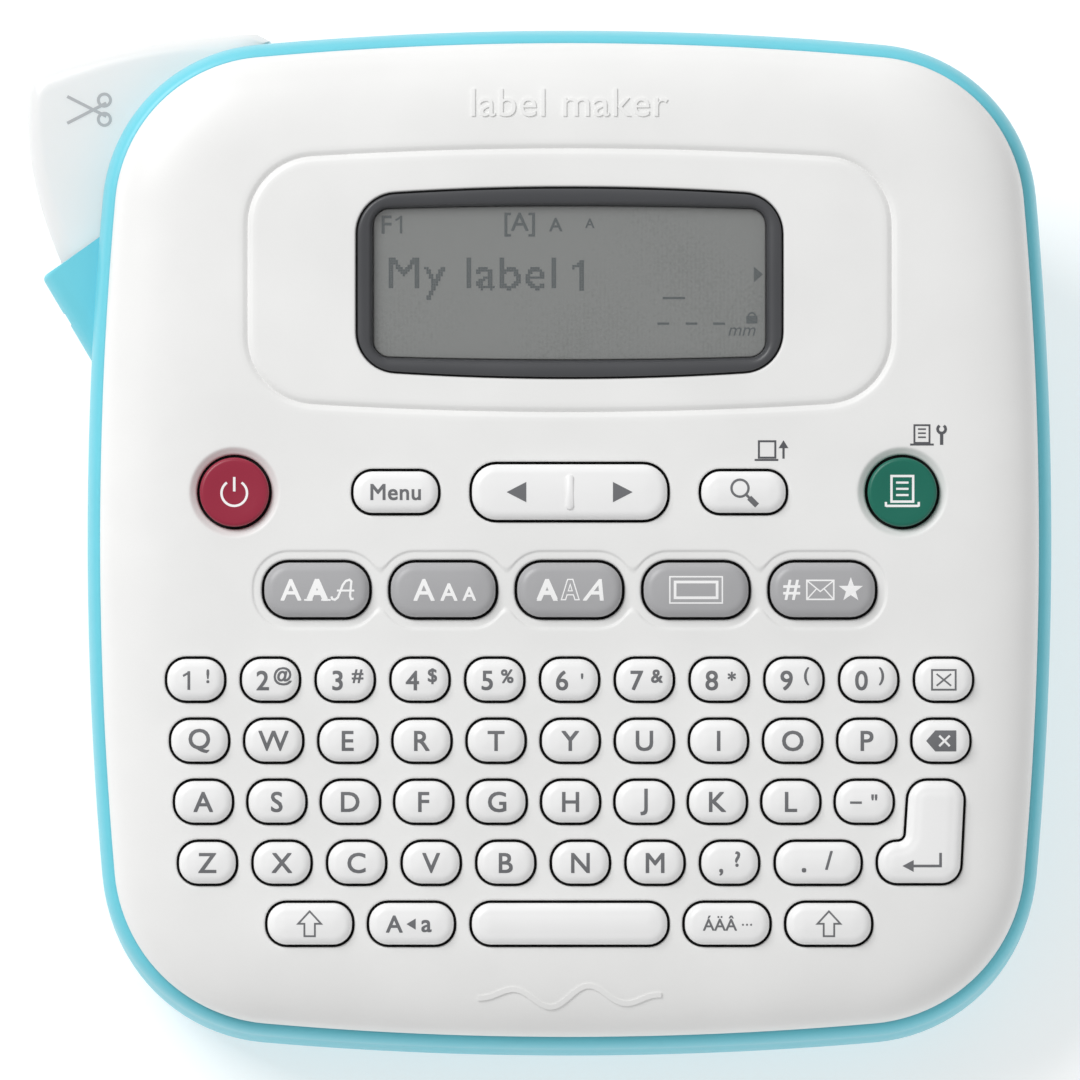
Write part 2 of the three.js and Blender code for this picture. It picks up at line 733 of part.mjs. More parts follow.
const nip = slitCentre.clone().addScaledVector(tapeDirection, tapeRun);
const rollerCentre = nip.clone().addScaledVector(chuteDirection, rollerRadius + 0.2);
const motorCentre = point(-caseHalfWidth + 15.8, caseHalfDepth - 64);
const pitchRadius = (teeth) => (gearModule * teeth) / 2;
const reductionCentre = circlesMeet(
  rollerCentre, pitchRadius(platenTeeth) + pitchRadius(reductionTeeth),
  motorCentre, pitchRadius(pinionTeeth) + pitchRadius(reductionTeeth), 1,
);
const spindleReach = (pitchRadius(reductionTeeth) + pitchRadius(spindleTeeth)) * Math.SQRT1_2;
const spindleCentre = reductionCentre.clone().add(point(spindleReach, spindleReach));
const gearBottom = chassisTop + fitGap;
const cassetteTop = chassisTop - chassisWall - 0.4;
const cassetteCentre = point(bayCentreX - 1, (bayRearY - 2.2 + cassetteTop * Math.sin(tilt)) / Math.cos(tilt)
  - cassetteHeight * Math.tan(tilt) - cassetteDepth / 2);

const involute = (angle) => Math.tan(angle) - angle;

// Spur gear outline: three points on each involute flank.
function gearOutline(teeth, phase) {
  const pitch = pitchRadius(teeth);
  const pressure = THREE.MathUtils.degToRad(20);
  const base = pitch * Math.cos(pressure);
  const halfTooth = Math.PI / (2 * teeth) - gearBacklash / (2 * pitch);
  const flankAngle = (radius) =>
    halfTooth + involute(pressure) - involute(Math.acos(Math.min(1, base / Math.max(radius, base))));
  const radii = [pitch - 1.25 * gearModule, pitch, pitch + 0.92 * gearModule];
  return Array.from({ length: teeth }, (_, i) => {
    const middle = phase + (2 * Math.PI * i) / teeth;
    const at = (radius, side) => point(radius, 0).rotateAround(point(0, 0), middle + side * flankAngle(radius));
    return [...radii.map((r) => at(r, -1)), ...radii.slice().reverse().map((r) => at(r, 1))];
  }).flat();
}

// The phase that sets a partner's gap against this gear's tooth, in the direction of the partner.
function meshPhase(direction, phase, teeth, partnerTeeth) {
  return direction + Math.PI - ((phase - direction) * teeth) / partnerTeeth - Math.PI / partnerTeeth;
}

function directionTo(from, to) {
  return Math.atan2(to.y - from.y, to.x - from.x);
}

function spurGear(teeth, phase, boreRadius) {
  const shape = new THREE.Shape(gearOutline(teeth, phase));
  shape.holes.push(new THREE.Path(circleOutline(boreRadius, point(0, 0), 10)));
  return new THREE.ExtrudeGeometry(shape, { depth: gearWidth, bevelEnabled: false });
}

const reductionPhase = 0;
const partnerPhase = (centre, teeth) =>
  meshPhase(directionTo(reductionCentre, centre), reductionPhase, reductionTeeth, teeth);

function motorPinion() {
  return spurGear(pinionTeeth, partnerPhase(motorCentre, pinionTeeth), shaftRadius + runningGap)
    .translate(motorCentre.x, motorCentre.y, gearBottom);
}

// The reduction gear turns on its own stub, which passes through the chassis plate.
function reductionGear() {
  const gear = prismSolid(gearOutline(reductionTeeth, reductionPhase), 0, gearWidth);
  const stub = prismSolid(circleOutline(journalRadius, point(0, 0), 12), -chassisWall - fitGap - 0.2, 1);
  return geometryOf(gear.add(stub)).translate(reductionCentre.x, reductionCentre.y, gearBottom);
}

function platenGear() {
  return spurGear(platenTeeth, partnerPhase(rollerCentre, platenTeeth), journalRadius + runningGap)
    .translate(rollerCentre.x, rollerCentre.y, gearBottom);
}

const rollerTop = chassisTop - chassisWall - 0.6;

function platenRoller() {
  const bottom = rollerTop - rollerLength;
  const profile = [
    [0, bottom - 2.2], [journalRadius, bottom - 2.2], [journalRadius, bottom], [rollerRadius, bottom],
    [rollerRadius, rollerTop], [journalRadius, rollerTop], [journalRadius, gearBottom + gearWidth],
    [0, gearBottom + gearWidth],
  ];
  const roller = new THREE.LatheGeometry(profile.map(([r, z]) => point(r, z)), 16);
  return roller.rotateX(Math.PI / 2).translate(rollerCentre.x, rollerCentre.y, 0);
}

// The ribbon spindle's splined shaft hangs into the cassette.
function ribbonSpindle() {
  const gear = prismSolid(gearOutline(spindleTeeth, partnerPhase(spindleCentre, spindleTeeth)), 0, gearWidth);
  const splines = 6;
  const shaft = Array.from({ length: 2 * splines }, (_, i) =>
    point(i % 2 ? 2.2 : 3, 0).rotateAround(point(0, 0), (Math.PI * i) / splines));
  const stem = prismSolid(shaft, -cassetteHeight * 0.8, 1);
  return geometryOf(gear.add(stem)).translate(spindleCentre.x, spindleCentre.y, gearBottom);
}

function driveMotor() {
  const top = chassisTop - chassisWall - fitGap;
  const profile = [
    [0, top - motorLength], [2, top - motorLength], [2, top - motorLength + 1],
    [motorRadius, top - motorLength + 1], [motorRadius, top - 0.5], [motorRadius - 0.5, top],
    [shaftRadius, top], [shaftRadius, gearBottom + gearWidth], [0, gearBottom + gearWidth],
  ];
  const motor = new THREE.LatheGeometry(profile.map(([r, z]) => point(r, z)), 16);
  return motor.rotateX(Math.PI / 2).translate(motorCentre.x, motorCentre.y, 0);
}

function acrossTape(width, thick, offset, low, high) {
  const plate = new THREE.BoxGeometry(width, thick, high - low).translate(0, offset, (low + high) / 2);
  return plate.rotateZ(Math.atan2(tapeDirection.y, tapeDirection.x)).translate(nip.x, nip.y, 0);
}

function printHead() {
  return acrossTape(headWidth, headThick, 0.3 + headThick / 2, rollerTop - rollerLength, rollerTop);
}

function headHeatSink() {
  const offset = 0.3 + headThick + fitGap + sinkThick / 2;
  return acrossTape(sinkWidth, sinkThick, offset, rollerTop - rollerLength, rollerTop + 0.2);
}

function tapeCassette() {
  const outline = roundedRectangle(cassetteWidth, cassetteDepth, 4, cassetteCentre);
  const bottom = cassetteTop - cassetteHeight;
  const bore = prismSolid(circleOutline(spindleBore, spindleCentre, 14), bottom - 1, cassetteTop + 1);
  const grip = roundedRectangle(gripWidth, gripDepth, 3, point(cassetteCentre.x + 14, cassetteCentre.y));
  const recess = prismSolid(grip, bottom - 1, bottom + 3);
  return geometryOf(prismSolid(outline, bottom, cassetteTop).subtract(bore).subtract(recess));
}

// The chassis: a plate under the gears, a bay for the cassette and a tray for the batteries.
function belowDeck(solid, level) {
  const far = 300;
  const above = deckPrismSolid(rectangle(far, far, point(0, 0)), level, level + far);
  return solid.subtract(above);
}

const chassisFoot = floorTop + fitGap;
const cellBottom = footHeight + doorThick + 0.6;
const trayTop = cellBottom + 2 * cellRadius + 0.6;

function mechanismFrame() {
  const outerX = bayHalfWidth + doorGap + chassisWall;
  const corner = (x, y, z) => new THREE.Vector3(bayCentreX + x, y, z);
  const bay = belowDeck(boxSolid(
    corner(-outerX, wallBetweenBays - chassisWall, chassisFoot),
    corner(outerX, bayRearY + doorGap + chassisWall, deckHeight + 60),
  ), chassisTop);
  const bayRoom = belowDeck(boxSolid(
    corner(-bayHalfWidth - doorGap, wallBetweenBays, 0),
    corner(bayHalfWidth + doorGap, bayRearY + doorGap, deckHeight + 60),
  ), chassisTop - chassisWall);
  const tray = boxSolid(
    corner(-outerX, bayFrontY - doorGap - chassisWall, chassisFoot),
    corner(outerX, wallBetweenBays, trayTop + chassisWall),
  );
  const trayRoom = boxSolid(
    corner(-bayHalfWidth - doorGap, bayFrontY - doorGap, 0),
    corner(bayHalfWidth + doorGap, wallBetweenBays - chassisWall, trayTop),
  );
  const wing = deckPrismSolid([
    point(-caseHalfWidth + 7, caseHalfDepth - 72), point(bayCentreX - outerX + 3, caseHalfDepth - 72),
    point(bayCentreX - outerX + 3, caseHalfDepth - 27), point(-caseHalfWidth + 12, caseHalfDepth - 31),
    point(-caseHalfWidth + 7, caseHalfDepth - 40),
  ], chassisTop - chassisWall, chassisTop);
  const bearingLevel = rollerTop - rollerLength - fitGap;
  const bearing = deckPrismSolid(
    rectangle(bayCentreX - outerX + 1 - rollerCentre.x + 5, 9,
      point((bayCentreX - outerX + 1 + rollerCentre.x - 5) / 2, rollerCentre.y)),
    bearingLevel - 1.6, bearingLevel,
  );
  const tapeWindow = deckPrismSolid(
    rectangle(chassisWall + 2, 12, point(bayCentreX - outerX + chassisWall / 2, nip.y + 5)),
    bearingLevel + 1, chassisTop - chassisWall - 1,
  );
  const hookRoom = (side) => boxSolid(
    corner(side * (bayHalfWidth - hookInset) - hookWidth / 2 - 2 * fitGap, bayRearY - 1, 0),
    corner(side * (bayHalfWidth - hookInset) + hookWidth / 2 + 2 * fitGap, bayRearY + hookFront, floorTop + 5),
  );
  const drill = (centre, radius) =>
    deckPrismSolid(circleOutline(radius, centre, 12), bearingLevel - 4, chassisTop + 1);
  return geometryOf(bay.subtract(bayRoom).add(tray.subtract(trayRoom)).add(wing).add(bearing)
    .subtract(tapeWindow).subtract(hookRoom(-1)).subtract(hookRoom(1))
    .subtract(drill(rollerCentre, journalRadius + runningGap)).subtract(drill(motorCentre, shaftRadius + 0.5))
    .subtract(drill(reductionCentre, journalRadius + runningGap))
    .subtract(drill(spindleCentre, 3 + fitGap)));
}

// ---- cutter ----

// Plan of the lever: bowed rear and left edges outside the case, a cranked inner edge round the print head.
// Each corner is an offset from the rear left of the case, then the way it moves when the plan is drawn in.
function leverOutline(inset) {
  const at = (x, v, inX, inV) => point(-caseHalfWidth + x + inX * inset, caseHalfDepth + v + inV * inset);
  const shape = new THREE.Shape();
  const line = (end) => shape.lineTo(end.x, end.y);
  const curve = (control, end) => shape.quadraticCurveTo(control.x, control.y, end.x, end.y);
  const start = at(22.6, -8, -1, 0);
  shape.moveTo(start.x, start.y);
  line(at(25.6, -5, -2.5, 0.3));
  line(at(27.9, -1.5, -3.65, -0.9));
  line(at(25.8, -0.4, -3.3, -1.3));
  curve(at(7.8, -0.6, 0, -1.1), at(-7.5, -6.1, 1.1, -1.2));
  curve(at(-9.1, -6.8, 1, -1), at(-9.3, -10, 1, -0.3));
  curve(at(-10.2, -23.5, 1, 0), at(-2.5, -39.1, 1, 2.2));
  line(at(0.6, -37.4, 0, 1.8));
  line(at(3.3, -33, -0.5, 1));
  line(at(6.3, -25.5, -1, 1));
  line(at(13.8, -18.5, -0.4, 1));
  line(at(22.6, -18.5, -1, 1));
  return orderedOutline(shape.getPoints(6).slice(0, -1));
}

const bladeStart = point(-caseHalfWidth + 0.2, caseHalfDepth - 37.6);

function bladeOutline(grow) {
  const across = tapeDirection.clone().multiplyScalar(bladeThick / 2 + grow);
  const edge = bladeStart.clone().addScaledVector(chuteDirection, 3 + grow);
  const back = bladeStart.clone().addScaledVector(chuteDirection, -4.5 - grow);
  return [back.clone().sub(across), edge.clone().sub(across), edge.clone().add(across), back.clone().add(across)];
}

function orderedOutline(points) {
  return THREE.ShapeUtils.isClockWise(points) ? points.slice().reverse() : points;
}

function cutterLever() {
  const body = prismSolid(leverOutline(0), leverBottom, leverTop);
  const pocket = prismSolid(leverOutline(leverWall), leverBottom - 1, leverTop - leverWall);
  const springRoom = prismSolid(circleOutline(springRadius + 1, leverPivot, 14), leverBottom - 1,
    leverTop - leverWall);
  const hub = prismSolid(circleOutline(hubRadius, leverPivot, 14), leverBottom, leverTop - 1);
  const bore = prismSolid(circleOutline(pinRadius + runningGap, leverPivot, 14), leverBottom - 1, leverTop + 1);
  const slot = prismSolid(orderedOutline(bladeOutline(fitGap)), leverBottom - 1, leverTop - leverWall + 0.6);
  return geometryOf(body.subtract(pocket).subtract(springRoom).add(hub).subtract(bore).subtract(slot));
}

function cutterBlade() {
  return prism(orderedOutline(bladeOutline(0)), leverBottom + 0.6, leverTop - leverWall - 0.2);
}

function leverPin() {
  return prism(circleOutline(pinRadius, leverPivot, 14), leverBottom - pinGrip, leverTop + pinProud);
}

// Torsion spring round the lever's hub.
function leverSpring() {
  const turns = 3;
  const points = Array.from({ length: turns * 8 + 1 }, (_, i) => {
    const angle = (i * Math.PI) / 4;
    return new THREE.Vector3(
      leverPivot.x + springRadius * Math.cos(angle), leverPivot.y + springRadius * Math.sin(angle),
      leverBottom + 2 + (10 * i) / (turns * 8),
    );
  });
  const path = new THREE.CatmullRomCurve3(points);
  const section = new THREE.Shape(circleOutline(springWire, point(0, 0), 5));
  return new THREE.ExtrudeGeometry(section, { extrudePath: path, steps: turns * 8, bevelEnabled: false });
}

// ---- power ----

const cellPitch = 2 * cellRadius + cellGap;
const cellX = (i) => bayCentreX + (i - (cellCount - 1) / 2) * cellPitch;

// A round cell along +Y: can, shoulder and raised button.
function batteryCell() {
  const profile = [
    [0, 0], [cellRadius - 0.8, 0], [cellRadius, 0.8], [cellRadius, cellLength - 2.2],
    [cellRadius - 1, cellLength - 1.4], [2.75, cellLength - 1.4], [2.75, cellLength], [0, cellLength],
  ];
  return new THREE.LatheGeometry(profile.map(([r, y]) => point(r, y)), 14).translate(0, -cellLength / 2, 0);
}

// A carrier strip with one sprung contact for each cell.
function contactStrip(y, inward) {
  const depth = 0.8;
  const middle = cellBottom + cellRadius;
  let strip = boxSolid(
    new THREE.Vector3(cellX(0) - 6, y - depth / 2, middle - 6),
    new THREE.Vector3(cellX(cellCount - 1) + 6, y + depth / 2, middle + 6),
  );
  for (let i = 0; i < cellCount; i += 1) {
    const contact = new THREE.CylinderGeometry(2.4, 2.4, 0.9, 8);
    strip = strip.add(solidOf(contact.translate(cellX(i), y + inward * (depth / 2 + 0.25), middle)));
  }
  return geometryOf(strip);
}

// ---- finishes ----

function finish(color, roughness, metalness = 0) {
  return new THREE.MeshStandardMaterial({ color, roughness, metalness });
}

const whiteAbs = () => finish(0xe6e6e4, 0.45);
const turquoiseAbs = () => finish(0x7fd3e0, 0.4);
const keyWhite = () => finish(0xf4f4f3, 0.5);
const keyGrey = () => finish(0xa6a7a9, 0.5);
const keyRed = () => finish(0x9e2a44, 0.4);
const keyGreen = () => finish(0x0a6b58, 0.4);
const darkGrey = () => finish(0x4b4b4b, 0.45);
const clearPmma = () => finish(0xdfe6e6, 0.08);
const lcdGrey = () => finish(0x8a8d8b, 0.3);
const boardGreen = () => finish(0x1d5b3a, 0.5);
const siliconeGrey = () => finish(0x8d8f92, 0.8);
const blackAbs = () => finish(0x2a2b2d, 0.6);
const steel = () => finish(0x9a9da1, 0.35, 1);
const aluminium = () => finish(0xb4b7bb, 0.4, 1);
const blackRubber = () => finish(0x1c1c1d, 0.85);
const gearPom = () => finish(0xe8e4d8, 0.5);
const ceramic = () => finish(0xd9d6cf, 0.3);
const leverWhite = () => finish(0xececec, 0.35);
const cassetteGrey = () => finish(0x55595e, 0.5);
const cellSleeve = () => finish(0x3c4656, 0.35, 0.3);

const keyFinish = { key_power: keyRed, key_print: keyGreen };

// ---- assembly ----

const labelMaker = new THREE.Group();
const deck = new THREE.Group();
deck.applyMatrix4(deckMatrix);
labelMaker.add(deck);

function addPiece(parent, name, geometry, material) {
  const mesh = new THREE.Mesh(geometry, material);
  mesh.name = name;
  parent.add(mesh);
  return mesh;
}

addPiece(labelMaker, "base_shell", baseShell(), turquoiseAbs());
addPiece(labelMaker, "bottom_cover", bottomCover(), turquoiseAbs());
addPiece(labelMaker, "mechanism_frame", mechanismFrame(), blackAbs());
addPiece(labelMaker, "power_inlet", powerInlet(), blackAbs());
addPiece(deck, "top_cover", topCover(), whiteAbs());
addPiece(deck, "display_frame", displayFrame(), darkGrey());
addPiece(deck, "display_window", displayWindow(), clearPmma());
addPiece(deck, "lcd_module", lcdModule(), lcdGrey());
addPiece(deck, "circuit_board", circuitBoard(), boardGreen());
addPiece(deck, "key_contact_sheet", contactSheet(), siliconeGrey());
addPiece(deck, "drive_motor", driveMotor(), steel());
addPiece(deck, "motor_pinion", motorPinion(), gearPom());
addPiece(deck, "reduction_gear", reductionGear(), gearPom());
addPiece(deck, "platen_gear", platenGear(), gearPom());
addPiece(deck, "platen_roller", platenRoller(), blackRubber());
addPiece(deck, "ribbon_spindle", ribbonSpindle(), gearPom());
addPiece(deck, "print_head", printHead(), ceramic());
addPiece(deck, "head_heat_sink", headHeatSink(), aluminium());
addPiece(deck, "tape_cassette", tapeCassette(), cassetteGrey());
addPiece(deck, "cutter_lever", cutterLever(), leverWhite());
addPiece(deck, "cutter_blade", cutterBlade(), steel());
addPiece(deck, "lever_pivot_pin", leverPin(), steel());
addPiece(deck, "lever_spring", leverSpring(), steel());

for (let i = 0; i < cellCount; i += 1) {
  const cell = addPiece(labelMaker, `battery_${i + 1}`, batteryCell(), cellSleeve());
  cell.position.set(cellX(i), cellRearY - cellLength / 2, cellBottom + cellRadius);
  cell.rotation.z = i % 2 ? Math.PI : 0;
}
const contactOffset = 1.2;
addPiece(labelMaker, "battery_contacts_front", contactStrip(cellRearY - cellLength - contactOffset, 1), steel());
addPiece(labelMaker, "battery_contacts_rear", contactStrip(cellRearY + contactOffset, -1), steel());

bossPlaces.forEach((place, i) => addPiece(labelMaker, `case_screw_${i + 1}`, caseScrew(place), steel()));

const footPlaces = {
  foot_front_left: point(-caseHalfWidth + footInset, -rearEdgeY + frontFootBack),
  foot_front_right: point(caseHalfWidth - footInset, -rearEdgeY + frontFootBack),
  foot_rear_left: point(-caseHalfWidth + footInset, rearEdgeY - rearFootFront),
  foot_rear_right: point(caseHalfWidth - footInset, rearEdgeY - rearFootFront),
};
for (const [name, place] of Object.entries(footPlaces)) {
  addPiece(labelMaker, name, rubberFoot(place), blackRubber());
}

for (const key of singleKeys) {
  const material = keyFinish[key.name] ?? (functionKeys.includes(key) ? keyGrey : keyWhite);
  addPiece(deck, key.name, singleKey(key), material());
}
for (const row of rowKeys) {
  addPiece(deck, row.name, keyStrip(row), keyWhite());
}

// The origin is the middle of the footprint, on the desk.
const bounds = new THREE.Box3().setFromObject(labelMaker);
const middle = bounds.getCenter(new THREE.Vector3());
labelMaker.position.set(-middle.x, -middle.y, -bounds.min.z);

export default labelMaker;
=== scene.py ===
import json
import math

import bmesh
import bpy
import numpy as np
from mathutils import Matrix, Vector
from mathutils.bvhtree import BVHTree
from mathutils.geometry import delaunay_2d_cdt, tessellate_polygon


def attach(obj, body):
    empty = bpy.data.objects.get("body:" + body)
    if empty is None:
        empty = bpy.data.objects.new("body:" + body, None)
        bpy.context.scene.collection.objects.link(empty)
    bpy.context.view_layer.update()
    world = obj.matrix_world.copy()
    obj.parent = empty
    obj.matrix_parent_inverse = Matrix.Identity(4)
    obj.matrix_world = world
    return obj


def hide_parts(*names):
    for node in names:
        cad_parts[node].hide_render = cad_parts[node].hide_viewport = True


# A desktop label maker: white keyboard deck on a turquoise bowl, cutter lever at the rear left corner.
# Deck millimetres run across (u), up the slope (v) and out of the deck (w).

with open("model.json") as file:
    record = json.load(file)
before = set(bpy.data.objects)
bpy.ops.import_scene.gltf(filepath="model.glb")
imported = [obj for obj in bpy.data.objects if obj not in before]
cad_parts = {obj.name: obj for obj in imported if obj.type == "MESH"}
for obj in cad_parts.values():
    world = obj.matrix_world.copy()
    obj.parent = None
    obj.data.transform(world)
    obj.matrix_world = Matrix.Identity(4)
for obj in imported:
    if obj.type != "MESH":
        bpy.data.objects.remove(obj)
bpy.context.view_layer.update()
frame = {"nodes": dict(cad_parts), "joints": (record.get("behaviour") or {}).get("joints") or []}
joints = {joint["name"]: joint for joint in frame["joints"]}

mm = 0.001
# the rocking key's hinge in deck millimetres, which ties the deck to the frame
rockerPin = Vector((0, 7.3, 4.7))
up = Vector(joints["lever_swing"]["axis"])
uphill = Vector(joints["cursor_rock"]["axis"])
turn = Matrix((Vector((1, 0, 0)), uphill, up)).transposed()
deckOrigin = Vector(joints["cursor_rock"]["pos_m"]) - turn @ rockerPin * mm
deck = Matrix.Translation(deckOrigin) @ turn.to_4x4() @ Matrix.Scale(mm, 4)
desk = Matrix.Translation((deckOrigin.x, deckOrigin.y, 0)) @ Matrix.Scale(mm, 4)


def boxOn(place, node):
    back = place.inverted()
    corners = np.array([back @ v.co for v in frame["nodes"][node].data.vertices])
    return corners.min(0), corners.max(0)


# Flat drawing: every loop is a row of points in millimetres.

def arc(centre, radius, start, end, steps):
    angles = np.linspace(start, end, steps + 1)
    return np.stack([centre[0] + radius * np.cos(angles), centre[1] + radius * np.sin(angles)], 1)


def circle(centre, radius, steps):
    return arc(centre, radius, 0, 2 * math.pi, steps)[:-1]


def roundedBox(width, depth, corner, centre=(0, 0), steps=8):
    x, y = width / 2 - corner, depth / 2 - corner
    corners = [(x, y, 0), (-x, y, 1), (-x, -y, 2), (x, -y, 3)]
    turns = [arc((cx, cy), corner, q * math.pi / 2, (q + 1) * math.pi / 2, steps) for cx, cy, q in corners]
    return np.concatenate(turns) + np.array(centre)


def bowedQuarter(half, bow, corner, inset, steps):
    side, end = np.array((half[0] - bow[0], 0.0)), np.array((0.0, half[1] - bow[1]))
    span = end - side
    distance = np.linalg.norm(span)
    near, far = bow[0] - corner, bow[1] - corner
    along = (near ** 2 - far ** 2 + distance ** 2) / (2 * distance)
    off = math.sqrt(near ** 2 - along ** 2)
    middle = side + (span * along + np.array((-span[1], span[0])) * off) / distance
    sideEnd = math.atan2(middle[1] - side[1], middle[0] - side[0])
    cornerEnd = math.atan2(middle[1] - end[1], middle[0] - end[0])
    return np.concatenate([
        arc(side, bow[0] - inset, 0, sideEnd, steps[0]),
        arc(middle, corner - inset, sideEnd, cornerEnd, steps[1])[1:],
        arc(end, bow[1] - inset, cornerEnd, math.pi / 2, steps[2])[1:],
    ])


# A rectangle with bowed sides; its rear and front corners may differ.
def bowedBox(half, bow, corners, inset=0.0, steps=(14, 20, 14), centre=(0, 0)):
    rear = bowedQuarter(half, bow, corners[0], inset, steps)
    front = bowedQuarter(half, bow, corners[1], inset, steps)
    loop = [rear, (rear * (-1, 1))[::-1][1:], (front * (-1, -1))[1:], (front * (1, -1))[::-1][1:-1]]
    return np.concatenate(loop) + np.array(centre)


def growCorners(corners, distance):
    corners = np.array(corners, float)
    into = corners - np.roll(corners, 1, 0)
    into /= np.linalg.norm(into, axis=1)[:, None]
    away = np.roll(into, -1, 0)
    outward = np.stack([into[:, 1] + away[:, 1], -into[:, 0] - away[:, 0]], 1)
    outward /= np.linalg.norm(outward, axis=1)[:, None]
    spread = outward[:, 0] * into[:, 1] - outward[:, 1] * into[:, 0]
    return corners + outward * (distance / spread)[:, None]


def roundCorners(corners, radii, steps=8):
    corners = np.array(corners, float)
    parts = []
    for i, corner in enumerate(corners):
        before = corners[i - 1] - corner
        after = corners[(i + 1) % len(corners)] - corner
        before, after = before / np.linalg.norm(before), after / np.linalg.norm(after)
        half = math.acos(np.clip(before @ after, -1, 1)) / 2
        middle = (before + after) / np.linalg.norm(before + after)
        centre = corner + middle * radii[i] / math.sin(half)
        first = corner + before * radii[i] / math.tan(half) - centre
        last = corner + after * radii[i] / math.tan(half) - centre
        sweep = math.atan2(first[0] * last[1] - first[1] * last[0], first @ last)
        start = math.atan2(first[1], first[0])
        parts.append(arc(centre, radii[i], start, start + sweep, steps))
    return np.concatenate(parts)


def distanceTo(points, loop):
    best = np.full(len(points), 1e9)
    for a, b in zip(loop, np.roll(loop, -1, 0)):
        edge = b - a
        if edge @ edge < 1e-12:
            continue
        t = np.clip(((points - a) @ edge) / (edge @ edge), 0, 1)
        best = np.minimum(best, np.linalg.norm(points - a - t[:, None] * edge, axis=1))
    return best


def inside(points, loop):
    hit = np.zeros(len(points), bool)
    for a, b in zip(loop, np.roll(loop, -1, 0)):
        if a[1] == b[1]:
            continue
        crosses = (a[1] > points[:, 1]) != (b[1] > points[:, 1])
        x = a[0] + (points[:, 1] - a[1]) / (b[1] - a[1]) * (b[0] - a[0])
        hit ^= crosses & (points[:, 0] < x)
    return hit


# Adds points along a loop's long straight runs.
def evenly(loop, longest=0.8):
    parts = []
    for a, b in zip(loop, np.roll(loop, -1, 0)):
        count = max(1, math.ceil(np.linalg.norm(b - a) / longest))
        parts.append(a + (b - a) * (np.arange(count) / count)[:, None])
    return np.concatenate(parts)


# Distance outside a loop, negative within it; points far off are left at the reach.
def signedDistance(points, loop, reach=3.0):
    found = np.full(len(points), reach)
    near = np.all((points > loop.min(0) - reach) & (points < loop.max(0) + reach), axis=1)
    if near.any():
        d = distanceTo(points[near], loop)
        found[near] = np.where(inside(points[near], loop), -d, np.minimum(d, reach))
    return found


# Solids are points and faces, placed in deck or desk millimetres.

def atLevel(loop, w):
    return np.column_stack([loop, np.full(len(loop), w)])


# Skins a stack of rings and closes both ends.
def loft(rings, closed=True):
    count = len(rings[0])
    faces = []
    for level in range(len(rings) - 1):
        for i in range(count):
            a, b = level * count + i, level * count + (i + 1) % count
            faces.append((a, b, b + count, a + count))
    if closed:
        faces.append(tuple(range(count))[::-1])
        faces.append(tuple(range((len(rings) - 1) * count, len(rings) * count)))
    return np.concatenate(rings), faces


def joined(parts):
    verts, faces = [], []
    for v, f in parts:
        start = sum(len(x) for x in verts)
        verts.append(np.asarray(v))
        faces += [tuple(i + start for i in face) for face in f]
    return np.concatenate(verts), faces


def lathe(profile, sides=40):
    rings = [atLevel(circle((0, 0), max(r, 1e-3), sides), z) for r, z in profile]
    return loft(rings)


def prism(loop, low, high):
    return loft([atLevel(loop, low), atLevel(loop, high)])


def addPiece(name, shape, looks, place=deck, sharp=38, lookOf=None):
    mesh = bpy.data.meshes.new(name)
    mesh.from_pydata([tuple(map(float, v)) for v in shape[0]], [], shape[1])
    mesh.transform(place)
    for look in looks:
        mesh.materials.append(look)
    if lookOf is not None:
        mesh.polygons.foreach_set("material_index", np.asarray(lookOf, np.int32))
    mesh.shade_smooth()
    mesh.set_sharp_from_angle(angle=math.radians(sharp))
    piece = bpy.data.objects.new(name, mesh)
    bpy.context.scene.collection.objects.link(piece)
    return piece


def fit(piece, body, nodes=()):
    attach(piece, body)
    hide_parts(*nodes)
    return piece


# Adds or cuts solids with exact booleans and leaves one plain mesh.
def carve(name, start, steps, looks, place=deck, sharp=38):
    piece = addPiece(name, start, looks, place)
    helpers = []
    for i, (operation, shape, where) in enumerate(steps):
        helper = addPiece(f"{name}.tool{i}", shape, looks[:1], where)
        modifier = piece.modifiers.new(f"step{i}", "BOOLEAN")
        modifier.operation, modifier.object, modifier.solver = operation, helper, "EXACT"
        helpers.append(helper)
    graph = bpy.context.evaluated_depsgraph_get()
    made = bpy.data.meshes.new_from_object(piece.evaluated_get(graph))
    piece.modifiers.clear()
    piece.data = made
    made.shade_smooth()
    made.set_sharp_from_angle(angle=math.radians(sharp))
    for helper in helpers:
        bpy.data.objects.remove(helper)
    return piece


# Finishes, each built from what the real surface is.

def toLinear(hexColour):
    channels = [int(hexColour[i:i + 2], 16) / 255 for i in (0, 2, 4)]
    return [c / 12.92 if c <= 0.04045 else ((c + 0.055) / 1.055) ** 2.4 for c in channels] + [1.0]


def addNode(tree, kind, inputs=None, **settings):
    node = tree.nodes.new(kind)
    for key, value in settings.items():
        setattr(node, key, value)
    for key, value in (inputs or {}).items():
        if isinstance(value, bpy.types.NodeSocket):
            tree.links.new(value, node.inputs[key])
        else:
            node.inputs[key].default_value = value
    return node


def newFinish(name):
    look = bpy.data.materials.new(name)
    look.use_nodes = True
    look.node_tree.nodes.clear()
    return look, look.node_tree


mouldings = {"driftMm": 18, "handled": 0.06}  # size of the cloudy drift, and what handling does to the gloss


